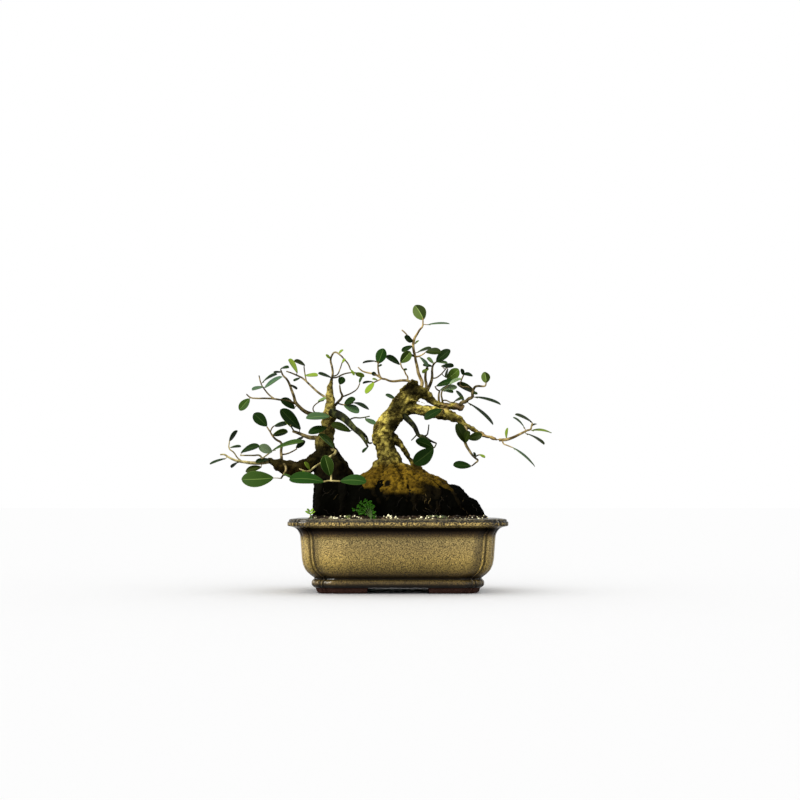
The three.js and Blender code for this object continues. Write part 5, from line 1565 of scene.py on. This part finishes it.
# %% The right tree's stems
RIGHT_SPRAYS = {
    "right_leader_spray": {
        "twigs": [
            (2.2, 1.4, [
                (27, 233, -1), (29, 240, -3), (26.5, 247, -4), (24.5, 252, -5), (23.5, 257, -6),
                (22.5, 262, -6), (21.3, 267, -7), (20.5, 272, -7), (19.5, 277, -7),
            ]),
            (1.6, 1.6, [
                (20, 274, -7), (18.6, 281, -7), (18.3, 287, -7), (19.3, 292, -7),
            ]),
            (1.6, 0.8, [
                (18.6, 287, -7), (20, 294, -7), (23, 299, -7), (26, 304, -7), (29.5, 308.5, -7),
                (30, 313, -7), (30, 317, -7),
            ]),
            (1, 0.8, [
                (18, 291, -7), (12, 296.5, -9), (8, 301, -11), (4.5, 304, -12),
            ]),
            (1.2, 0.8, [
                (21, 271.5, -7), (26, 272.5, -9), (32, 276, -12),
            ]),
        ],
        "leaves": [
            (30.5, 316.5, 20.5, 334, 16, 14, "half_in_painted_light"), (36, 310, 62, 311, 2, 0, "grey"),
            (17, 290, 7.5, 295.5, 7, -12, "dark"), (17, 284.5, 5, 277.5, 6, -8, "dark"),
            (20, 271.5, 14.5, 273.5, 2.6, -6, "dark"), (33, 277, 52, 276.5, 8, -6, "olive"),
            (23, 276.5, 40, 281.5, 3.2, 10, "pale"), (26, 271, 34.5, 259.5, 4, -10, "teal"),
            (21, 287, 25, 291, 2, 4, "young"),
        ],
    },
    "right_left_spray": {
        "twigs": [
            (1.7, 0.9, [
                (17, 240, -1), (12, 242.5, -6), (5, 243, -10), (0, 242.5, -13), (-5, 242, -16),
                (-10, 242.5, -19), (-15, 244.5, -22), (-20, 245.8, -25), (-22.5, 250, -27),
                (-23.5, 254, -28), (-24, 258, -29), (-24, 263, -30),
            ]),
            (1.5, 0.7, [
                (-20, 245.8, -25), (-25, 249, -27), (-30, 251, -29), (-37, 252.5, -31),
                (-43, 254.5, -33), (-48, 259, -35),
            ]),
            (0.9, 0.8, [
                (-19, 245.5, -25), (-25, 242.5, -27), (-29, 240.5, -29),
            ]),
            (1, 0.8, [
                (11.5, 242.5, -6), (11.5, 247.5, -8), (9.5, 250.5, -9), (7.5, 255, -11), (4.5, 259, -12),
                (3, 264, -12),
            ]),
        ],
        "leaves": [
            (-26, 249.5, -31.5, 252.5, 5, -3, "dark"),
            (-24, 263.5, -17, 281.5, 13, 8, "deep"), (-26, 266, -42, 263.5, 2.2, 8, "dark"),
            (-29, 240.5, -38, 227, 6.5, -8, "young"), (-30, 241, -42, 239, 2.4, 8, "dark"),
            (-25, 243.5, -31, 244.5, 2, -3, "young"), (2, 262, -15, 271.5, 7, -8, "dark"),
            (3, 264.5, 15, 278, 12, -5, "half_in_painted_light"), (6.5, 256, 11, 256, 2.6, -4, "dark"),
            (-24, 259.5, -19, 261.5, 2.2, -4, "dark"),
        ],
    },
    "right_crest_spray": {
        "twigs": [
            (1.9, 1.3, [
                (34, 231, 4), (34, 238, 5), (33, 244, 6), (33, 250, 7), (34, 256, 9), (36, 261, 11),
            ]),
            (2.2, 1, [
                (34, 229, 4), (38, 237, 8), (40, 242, 10), (41, 248, 12), (41, 255, 13), (42, 261, 14),
                (45, 265, 15),
            ]),
            (0.9, 0.8, [
                (41, 246, 11), (45, 246, 14), (50, 249, 17), (55, 254, 20), (58, 258, 22),
            ]),
        ],
        "leaves": [
            (46, 265.5, 63, 279.5, 11, -6, "dark"), (45, 265, 59, 263, 3, -10, "mid"),
            (43, 263, 34.5, 269.5, 4, 8, "pale"), (41, 260, 30, 261, 4, -8, "dark"),
            (59, 244.5, 73, 256.5, 13, -5, "moss"), (52, 260, 67, 260, 5.5, 8, "deep"),
            (37, 257, 30, 251.5, 4, -8, "young"), (60, 257, 58.5, 246.5, 3, -9, "olive"),
        ],
    },
    "right_mid_spray": {
        "twigs": [
            (1.7, 1, [
                (50, 213, 9), (49, 220, 12), (49, 226, 13), (50, 231, 14),
            ]),
            (1.4, 0.9, [
                (54, 213, 9), (53, 220, 6), (52, 226, 3), (53, 231, 1),
            ]),
            (0.9, 0.8, [
                (50, 230, 14), (46, 233, 14), (44.5, 236, 13),
            ]),
            (0.9, 0.7, [
                (53, 219, 6), (58, 219, 3), (62, 217, 1), (68, 216.5, 0),
            ]),
        ],
        "leaves": [
            (51, 231.5, 71, 234.5, 7.5, -4, "sheen"), (46, 236, 67, 242, 6.5, -6, "deep"),
            (62, 238, 77, 245, 4, 6, "sheen"), (67, 217, 79, 221.5, 3, -10, "olive"),
            (55, 230, 66, 228, 3, -10, "dark"),
        ],
    },
    "right_knot_spray": {
        "twigs": [
            (2.6, 0.9, [
                (73, 211, 9), (77, 216.5, 7), (81, 217.5, 6), (85, 221, 4), (89, 223, 2), (89.5, 228, 1),
                (90.5, 232, 0), (93, 235.5, -1), (97, 236.3, -2), (101, 236, -3), (104.5, 236.5, -4),
                (105.8, 240, -5),
            ]),
            (1, 0.8, [
                (90.5, 231.5, 0), (84, 235, -4), (75, 237, -8), (76, 243, -9), (79, 250, -10),
            ]),
        ],
        "leaves": [
            (93, 227.5, 70.5, 239, 8, 8, "olive"), (79, 249.5, 75.5, 257, 4.6, -6, "dark"),
            (78, 250, 89.5, 248.5, 4.4, 6, "dark"), (106, 240.5, 104, 253.5, 11, 13, "half_in_painted_light"),
            (90, 228.5, 95.5, 226.5, 3.4, -4, "dark"), (92, 222.8, 123, 213.5, 2.8, -4, "dark"),
            (84, 216, 113.5, 189.5, 3, -8, "dark"), (79, 217, 70, 230.5, 4, 6, "grey"),
        ],
    },
    "right_hanging_spray": {
        "twigs": [
            (2.2, 0.8, [
                (81, 189, -20), (81.5, 181, -27), (80, 173, -31), (81.5, 165.5, -34), (85, 159.5, -36),
                (89, 153.5, -38), (93, 149.5, -40), (95.5, 147.2, -41), (92, 143.5, -42),
                (88.5, 140.5, -42),
            ]),
            (0.8, 0.8, [
                (92, 150.5, -40), (95, 153, -41), (98.5, 153.8, -42),
            ]),
        ],
        "leaves": [
            (81, 168, 70, 191, 12, -6, "olive"), (81, 180, 70, 189, 6, -8, "dark"),
            (84, 173, 101, 178, 10, -6, "olive"), (79.5, 168, 86, 182, 8, -10, "olive"),
            (87.5, 140, 66, 141.5, 9, -4, "dark"), (93, 152, 90, 156.5, 2.6, -4, "dark"),
            (98, 154, 104, 150, 3, -5, "young"), (81, 168, 76, 178, 4.5, 8, "olive"),
        ],
    },
    "right_tip_spray": {
        "twigs": [
            (1.9, 0.9, [
                (121, 171.5, -29.5), (130, 172, -30), (135, 173.5, -29), (140, 175.5, -28),
                (145, 178, -27), (150, 180.5, -26), (155, 183, -25), (159, 184.5, -24), (160, 188, -24),
                (161, 192, -24),
            ]),
            (0.9, 0.7, [
                (125, 171, -30), (126.5, 167, -32), (131, 165, -34), (137, 162.5, -36),
            ]),
        ],
        "leaves": [
            (137, 162.5, 163.5, 139.5, 1.8, -6, "grey"), (153, 179, 175, 166, 2.8, -10, "olive"),
            (161, 192, 140.5, 201.5, 3.2, -10, "olive"), (152, 185, 138, 198, 1.5, 10, "grey"),
            (160, 182.5, 184, 179.5, 2, 6, "young"), (130, 174, 132, 186, 3, -3, "young"),
            (160.5, 188, 166, 190.5, 2, 6, "olive"),
        ],
    },
    "right_bough_leaf": {
        "twigs": [
            (1.3, 0.9, [
                (54, 203, -14), (54.5, 206, -22), (54, 208, -26),
            ]),
        ],
        "leaves": [
            (53, 208, 32, 196, 9.5, -5, "dark"),
        ],
    },
    "right_lower_spray": {
        "twigs": [
            (4.2, 0.9, [
                (5, 203, -3), (11, 197, -6), (16, 192, -9), (20, 187, -12), (22.5, 181.5, -14),
                (25, 177, -16), (30, 175.8, -19), (35, 173, -22), (40, 170, -25), (46, 167.5, -28),
            ]),
            (1, 0.7, [
                (23.5, 179, -15), (20, 175, -17), (16, 171, -18),
            ]),
            (1, 0.7, [
                (29, 176, -18), (34.5, 177.5, -19), (36, 182, -19), (37, 190, -20),
            ]),
            (0.8, 0.8, [
                (46, 167.3, -28), (44.5, 164, -31), (43, 162, -33),
            ]),
        ],
        "leaves": [
            (42.5, 162, 21, 170.5, 11, 8, "dark"), (42.5, 161.5, 19, 143, 18, -4, "dark"),
        ],
    },
    "right_trunk_leaf": {
        "twigs": [
            (1, 0.8, [
                (3, 220, -6), (-4, 222, -11),
            ]),
        ],
        "leaves": [
            (-4.5, 222, -15, 225, 4.6, -9, "grey"),
        ],
    },
}

# %% [markdown]
# ## One leaf, shaped once
# The leaf of this ficus is thick and leathery: a broad oval that is widest beyond its
# middle, with a blunt tip, a smooth edge and a sunken midrib. One grid becomes the blade in
# its own small coordinates, across from -1 to 1 and along from 0 to 1. Every leaf is a copy
# whose points are laid out over its own base, tip, roll, arch and fold.

# %% The blade
BLADE_ACROSS = 8
BLADE_ALONG = 14
BLADE_THICKNESS = 0.55
LEAF_SLENDERNESS = 0.56
WIDEST_LEAF = 20


def blade_pattern(name, across, along):
    """A flat grid, -1 to 1 across and 0 to 1 along, with its rows closer at both ends."""
    bpy.ops.object.select_all(action="DESELECT")
    bpy.ops.mesh.primitive_grid_add(x_subdivisions=across, y_subdivisions=along, size=2)
    obj = bpy.context.object
    obj.name = name
    layer = obj.data.uv_layers.new(name="blade") if not obj.data.uv_layers else obj.data.uv_layers[0]
    layer.name = "blade"
    for vertex in obj.data.vertices:
        share = (vertex.co.y + 1) / 2
        vertex.co.y = (1 - math.cos(math.pi * share)) / 2
    for loop in obj.data.loops:
        spot = obj.data.vertices[loop.vertex_index].co
        layer.data[loop.index].uv = (spot.x / 2 + 0.5, spot.y)
    return obj


def half_width(v):
    """The blade's half-width at a share of its length, as a share of its widest."""
    return max(0.03, math.sqrt(math.sin(math.pi * min(max(v, 0.0001), 0.9999) ** 1.3)))


leaf_pattern = blade_pattern("leaf_pattern", BLADE_ACROSS, BLADE_ALONG)
# Each tone is a green, and a share that sets how clear the midrib is and how far one half of the blade is
# lightened as painted light.
TONES = {
    "dark": ("#091A04", 0.0), "deep": ("#10280A", 0.05), "mid": ("#213412", 0.1), "grey": ("#2F4230", 0.1),
    "teal": ("#2E4036", 0.1), "light": ("#5A6A22", 0.1), "young": ("#5A6A20", 0.0), "olive": ("#182006", 0.0),
    # The sheen tone is a painted sheen: pale grey-green for leaves that catch the light.
    "sheen": ("#6E7E66", 0.1), "moss": ("#38491A", 0.3), "pale": ("#4A5A3A", 0.0), "fresh": ("#1B300A", 0.3),
    "half_in_painted_light": ("#1A2406", 0.8),
}


def lay_leaf(pattern, base, tip, shown, face_up, tone, draw, shape=half_width, slender=LEAF_SLENDERNESS):
    """A copy of the pattern laid out as one leaf, seen from the eye as wide as shown."""
    length = (tip - base).length
    axis = (tip - base) / length
    width = max(shown, min(slender * length, WIDEST_LEAF * MM))
    roll = math.acos(min(1, shown / width))
    to_eye = (EYE - base).normalized()
    to_eye = (to_eye - axis * to_eye.dot(axis)).normalized()
    across = axis.cross(to_eye)
    facing = to_eye * math.cos(roll) * (1 if face_up else -1)
    lift = across * math.sin(roll) * (1 if across.z >= 0 else -1)
    normal = (facing + lift).normalized()
    side = normal.cross(axis).normalized()
    arch = (0.035 + 0.02 * draw.uniform(-1, 1)) * length
    fold = 0.16 + 0.06 * draw.uniform(-1, 1)
    sway = 0.03 * draw.uniform(-1, 1) * length
    wave = 0.012 * draw.uniform(-1, 1) * length
    phase = draw.uniform(0, 6)
    twist = 0.16 * draw.uniform(-1, 1)
    mesh = pattern.data.copy()
    for vertex in mesh.vertices:
        u, v = vertex.co.x, vertex.co.y
        reach = u * shape(v) * width / 2
        bell = 4 * v * (1 - v)
        rise = arch * bell + fold * abs(reach) + wave * u * math.sin(5 * v + phase)
        rise += twist * reach * (v - 0.5)
        vertex.co = base + axis * (length * v) + side * (reach + sway * bell) + normal * rise
    colour, half = tone
    shade = 1 + 0.14 * draw.uniform(-1, 1)
    red, green, blue, _ = rgb(colour)
    tint = mesh.color_attributes.new("leaf_tint", "FLOAT_COLOR", "POINT")
    tinted = [red * shade, green * shade, blue * shade * 0.97, half]
    tint.data.foreach_set("color", tinted * len(mesh.vertices))
    obj = bpy.data.objects.new("leaf", mesh)
    bpy.context.collection.objects.link(obj)
    return obj


# %% [markdown]
# A leaf's upper face has a thin waxy skin over dark green, with a pale midrib and faint side
# veins that leave it steeply. The lower face is paler and duller. The veins are drawn from
# the blade's own map, so they follow every leaf, and their spacing is a fifteenth of the
# blade, about two millimetres on a real leaf.

# %% Leaf skins
SIDE_VEINS = 15
VEIN_SLANT = 0.9


def leaf_material(name, rough, paleness, vein_colour, vein_strength):
    """A leaf face that takes its green from leaf_tint and draws its veins along the blade."""
    material, tree, shader = new_material(name)
    blade = add_node(tree, "ShaderNodeUVMap", uv_map="blade").outputs[0]
    spot = add_node(tree, "ShaderNodeSeparateXYZ", {0: blade})
    tint = add_node(tree, "ShaderNodeAttribute", attribute_name="leaf_tint")
    where = add_node(tree, "ShaderNodeTexCoord").outputs["Object"]
    blotch = add_node(
        tree, "ShaderNodeTexNoise",
        {"Vector": where, "Scale": 1 / (5 * MM), "Detail": 3.0, "Roughness": 0.55},
    )
    off = add_node(tree, "ShaderNodeMath", {0: spot.outputs["X"], 1: 0.5}, operation="SUBTRACT")
    aside = add_node(tree, "ShaderNodeMath", {0: off.outputs[0]}, operation="ABSOLUTE")
    mottled = add_node(
        tree, "ShaderNodeMix", {0: blotch.outputs["Fac"], 6: tint.outputs["Color"], 7: rgb("#9AA880")},
        data_type="RGBA", blend_type="SOFT_LIGHT",
    )
    # Where the tint's alpha is above 0, one half of the blade is lightened: painted light on that half.
    half = add_node(
        tree, "ShaderNodeMapRange",
        {"Value": off.outputs[0], "From Min": 0.02, "From Max": -0.03, "To Max": 0.5},
    )
    half_share = add_node(
        tree, "ShaderNodeMath", {0: half.outputs[0], 1: tint.outputs["Alpha"]}, operation="MULTIPLY",
    )
    half_in_painted_light = add_node(
        tree, "ShaderNodeMix", {0: half_share.outputs[0], 6: mottled.outputs[2], 7: rgb("#4A5C26")},
        data_type="RGBA",
    )
    faded = add_node(
        tree, "ShaderNodeMix", {0: paleness, 6: half_in_painted_light.outputs[2], 7: rgb("#64785A")}, data_type="RGBA",
    )
    slanted = add_node(
        tree, "ShaderNodeMath", {0: aside.outputs[0], 1: -VEIN_SLANT, 2: spot.outputs["Y"]},
        operation="MULTIPLY_ADD",
    )
    wave = add_node(
        tree, "ShaderNodeMath", {0: slanted.outputs[0], 1: SIDE_VEINS * 2 * math.pi}, operation="MULTIPLY",
    )
    beat = add_node(tree, "ShaderNodeMath", {0: wave.outputs[0]}, operation="SINE")
    side_vein = add_node(
        tree, "ShaderNodeMapRange",
        {"Value": beat.outputs[0], "From Min": 0.8, "From Max": 1.0, "To Max": 0.08},
    )
    taper = add_node(
        tree, "ShaderNodeMapRange", {"Value": spot.outputs["Y"], "To Min": 0.05, "To Max": 0.022},
    )
    near = add_node(tree, "ShaderNodeMath", {0: aside.outputs[0], 1: taper.outputs[0]}, operation="DIVIDE")
    midrib = add_node(
        tree, "ShaderNodeMapRange",
        {"Value": near.outputs[0], "From Min": 1.0, "From Max": 0.4, "To Max": vein_strength},
    )
    edge = add_node(
        tree, "ShaderNodeMapRange",
        {"Value": aside.outputs[0], "From Min": 0.465, "From Max": 0.495, "To Max": 0.5 * vein_strength},
    )
    lines = add_node(tree, "ShaderNodeMath", {0: midrib.outputs[0], 1: edge.outputs[0]}, operation="MAXIMUM")
    young_share = add_node(
        tree, "ShaderNodeMath", {0: tint.outputs["Alpha"], 1: 4.0, 2: 0.14},
        operation="MULTIPLY_ADD", use_clamp=True,
    )
    clear_lines = add_node(
        tree, "ShaderNodeMath", {0: lines.outputs[0], 1: young_share.outputs[0]}, operation="MULTIPLY",
    )
    veins = add_node(
        tree, "ShaderNodeMath", {0: clear_lines.outputs[0], 1: side_vein.outputs[0]}, operation="MAXIMUM",
    )
    veined = add_node(
        tree, "ShaderNodeMix", {0: veins.outputs[0], 6: faded.outputs[2], 7: rgb(vein_colour)},
        data_type="RGBA",
    )
    tree.links.new(veined.outputs[2], shader.inputs["Base Color"])
    shader.inputs["Roughness"].default_value = rough
    shader.inputs["IOR"].default_value = 1.45
    shader.inputs["Specular IOR Level"].default_value = 0.025
    bump = add_node(
        tree, "ShaderNodeBump", {"Height": veins.outputs[0], "Strength": 0.35, "Distance": -0.3 * MM},
    )
    tree.links.new(bump.outputs[0], shader.inputs["Normal"])
    return material


leaf_face = leaf_material("waxy_leaf_face", 0.42, 0.0, "#64783E", 0.8)
leaf_back = leaf_material("dull_leaf_back", 0.6, 0.3, "#6E805A", 0.8)


def twig_material(name, *tones):
    """Young bark in three tones from its shaded to its sunlit stretches."""
    stops = list(zip((0.36, 0.5, 0.64), tones))
    return speckled_material(name, 7, 4.0, stops, 0.7, 0.03)


# The dark and cream barks are copies of one young bark, darker for shaded stems and paler for sunlit ones:
# painted shade and painted light.
TWIG_BARKS = {
    "dark": twig_material("twig_bark_in_painted_shade", "#080904", "#14160A", "#33361A"),
    "brown": twig_material("brown_twig_bark", "#1C190E", "#403820", "#6E6242"),
    "cream": twig_material("twig_bark_in_painted_light", "#3C361E", "#6C643E", "#948A60"),
    "peach": twig_material("peach_twig_bark", "#42361F", "#6E5E38", "#928258"),
}
STEMS_IN_PAINTED_SHADE = ("left_right_spray", "right_lower_spray")
STEMS_IN_PAINTED_LIGHT = ("left_low_spray", "left_front_spray")
PEACH_STEMS = ("right_tip_spray", "right_left_spray", "right_leader_spray")


def twig_bark_of(name):
    """The bark of a stem's twigs: most are brown; shaded stems get a darker copy, painted shade, and sunlit
    ones a paler copy, painted light.
    """
    if name in STEMS_IN_PAINTED_SHADE:
        return TWIG_BARKS["dark"]
    if name in STEMS_IN_PAINTED_LIGHT:
        return TWIG_BARKS["cream"]
    return TWIG_BARKS["peach" if name in PEACH_STEMS else "brown"]

# %% [markdown]
# A leaf's stalk starts at the nearest point of the twigs and runs a little way into the
# blade, so that nothing floats. Blades are joined stem by stem, and Solidify gives them their
# leathery thickness, with the paler back as a second material.

# %% Growing a stem
STALK_RADII = [0.55, 0.5, 0.45]
STALK_REACH = 0.12
# A leaf whose tip lies deeper than its joint by more than this shows its underside.
DEEPEST_FACE_UP = 6
STEM_SEED = 100


def nearest_joint(twig_points, x, z):
    """The point on the twigs, read as x, z and depth, that lies nearest to x, z in the front view."""
    best = None
    for points in twig_points:
        for start, end in zip(points, points[1:]):
            run = (end[0] - start[0], end[1] - start[1])
            square = run[0] ** 2 + run[1] ** 2 or 1
            share = ((x - start[0]) * run[0] + (z - start[1]) * run[1]) / square
            share = min(max(share, 0), 1)
            spot = tuple(a + (b - a) * share for a, b in zip(start, end))
            away = math.hypot(x - spot[0], z - spot[1])
            if best is None or away < best[0]:
                best = (away, spot)
    return best[1]


def grow_stem(name, stem, number):
    """Twigs with their stalks as one piece and the leaves as another."""
    draw = random.Random(STEM_SEED + number)
    limbs = []
    for first, last, points in stem["twigs"]:
        limbs.append(([place(*point) for point in points], [first, (first + last) / 2, last]))
    twig_points = [points for _, _, points in stem["twigs"]]
    leaves = []
    for x0, z0, x1, z1, shown, deeper, tone in stem["leaves"]:
        joint = nearest_joint(twig_points, x0, z0)
        root = place(*joint)
        base = place(x0, z0, joint[2])
        tip = place(x1, z1, joint[2] + deeper)
        into = base.lerp(tip, STALK_REACH)
        middle = root.lerp(base, 0.6) + Vector((0, 0, 0.2 * MM))
        limbs.append(([root, middle, into], STALK_RADII))
        face_up = deeper <= DEEPEST_FACE_UP
        leaves.append(lay_leaf(leaf_pattern, base, tip, shown * MM, face_up, TONES[tone], draw))
    twigs = limb_curve(name + "_twigs", limbs, sides=2)
    blades = join(name + "_leaves", leaves)
    apply_modifier(
        blades, "SOLIDIFY", thickness=BLADE_THICKNESS * MM, offset=-1,
        material_offset=1, material_offset_rim=0,
    )
    settle(twigs, name + "_twigs", name, "ficus_leaf", twig_bark_of(name))
    settle(blades, name + "_leaves", name, "ficus_leaf", leaf_face, leaf_back)
    for piece in (twigs, blades):
        choose(piece)
        bpy.ops.object.shade_smooth_by_angle(angle=math.radians(50))


for number, (name, stem) in enumerate({**LEFT_SPRAYS, **RIGHT_SPRAYS}.items()):
    grow_stem(name, stem, number)

# %% [markdown]
# ## The two weeds
# A small fern has come up in front of the ball, and a seedling at the left end. The fern's
# few fronds are arching stalks that stand or droop each its own way, with pairs of round
# leaflets, each leaflet a few faces only.

# %% Fern and seedling
FERN_X, FERN_Y = -37, -66
SEEDLING_X, SEEDLING_Y = -101, -50
FRONDS = [
    (-15, 11, -2), (-10, 15, -5), (-6, 20, 2), (-1, 23, -1), (4, 21, -4), (8, 16, 3),
    (10, 8, -5), (-7, 7, -6), (11, 2, -3),
]
FROND_ROOT = 6
FROND_STEPS = 5
FROND_ARCH = 3
LEAFLET_PAIRS = 6
BARE_STALK = 0.3
LOST_SHARE = 0.15
WEED_THICKNESS = 0.25
leaflet_pattern = blade_pattern("leaflet_pattern", 2, 4)
draw = random.Random(21)
ground = soil_top(FERN_X, FERN_Y)
stalks = [([at(FERN_X + FROND_ROOT, FERN_Y, ground + rise) for rise in (-4, 0, 3)], [1.2, 1, 0.6])]
leaflets = []
fern_green = ("#193C05", 0.0)
for reach, rise, forward in FRONDS:
    start = Vector((FERN_X + FROND_ROOT, FERN_Y, ground + 1.5))
    end = Vector((FERN_X + reach, FERN_Y + forward, ground + rise))
    points = []
    for step in range(FROND_STEPS):
        share = step / (FROND_STEPS - 1)
        spot = start.lerp(end, share) + Vector((0, 0, FROND_ARCH * 4 * share * (1 - share)))
        points.append(at(*spot))
    stalks.append((points, [0.35, 0.28, 0.2]))
    for pair in range(1, LEAFLET_PAIRS + 1):
        share = BARE_STALK + (1 - BARE_STALK) * (pair + 0.5 * draw.random()) / (LEAFLET_PAIRS + 0.5)
        before = min(int(share * (FROND_STEPS - 1)), FROND_STEPS - 2)
        spot = points[before].lerp(points[before + 1], share * (FROND_STEPS - 1) - before)
        along = (points[before + 1] - points[before]).normalized()
        sideways = along.cross(Vector((0, -1, 0.4))).normalized()
        for turn in (-1, 1):
            if draw.random() < LOST_SHARE:
                continue
            heading = along * draw.uniform(0.2, 1.2) + sideways * turn
            heading += Vector((0, -1, 0)) * draw.uniform(0, 0.6)
            size = draw.uniform(1.6, 3.6) * MM
            tip = spot + heading.normalized() * size
            shown = draw.uniform(0.5, 0.8) * size
            leaflets.append(
                lay_leaf(leaflet_pattern, spot, tip, shown, True, fern_green, draw, slender=0.8)
            )
fern_stalks = limb_curve("fern_stalks", stalks, sides=1)
fern_leaves = join("fern_leaflets", leaflets)
apply_modifier(fern_leaves, "SOLIDIFY", thickness=WEED_THICKNESS * MM, offset=-1)

ground = soil_top(SEEDLING_X, SEEDLING_Y)
SEEDLING_STEM = [(0, -4), (0.5, 4), (-1, 8), (-1.6, 10.5)]
stem_points = [at(SEEDLING_X + dx, SEEDLING_Y, ground + dz) for dx, dz in SEEDLING_STEM]
seedling_stalks = limb_curve("seedling_stalk", [(stem_points, [0.8, 0.6, 0.45])], sides=1)
leaves = []
seedling_green = ("#66802E", 0.0)
for dx, dz, bottom in ((-7, 11, 7.5), (5, 11, 7.5), (-5, 14, 10), (3, 14, 10)):
    base = at(SEEDLING_X - 1, SEEDLING_Y, ground + bottom)
    tip = at(SEEDLING_X + dx, SEEDLING_Y - 2, ground + dz)
    leaves.append(lay_leaf(leaflet_pattern, base, tip, 2.6 * MM, True, seedling_green, draw))
seedling_leaves = join("seedling_leaves", leaves)
apply_modifier(seedling_leaves, "SOLIDIFY", thickness=WEED_THICKNESS * MM, offset=-1)

soft_stalk, tree, shader = new_material("soft_green_stalk")
shader.inputs["Base Color"].default_value = rgb("#3E5A20")
shader.inputs["Roughness"].default_value = 0.5
weed_leaf = leaf_material("soft_weed_leaf", 0.5, 0.0, "#6E8A3A", 0.3)
settle(fern_stalks, "fern_stalks", "fern_weed", "weed_leaf", soft_stalk)
settle(fern_leaves, "fern_leaflets", "fern_weed", "weed_leaf", weed_leaf)
settle(seedling_stalks, "seedling_stalk", "seedling_weed", "weed_leaf", soft_stalk)
settle(seedling_leaves, "seedling_leaves", "seedling_weed", "weed_leaf", weed_leaf)
for pattern in (leaf_pattern, leaflet_pattern):
    bpy.data.objects.remove(pattern)
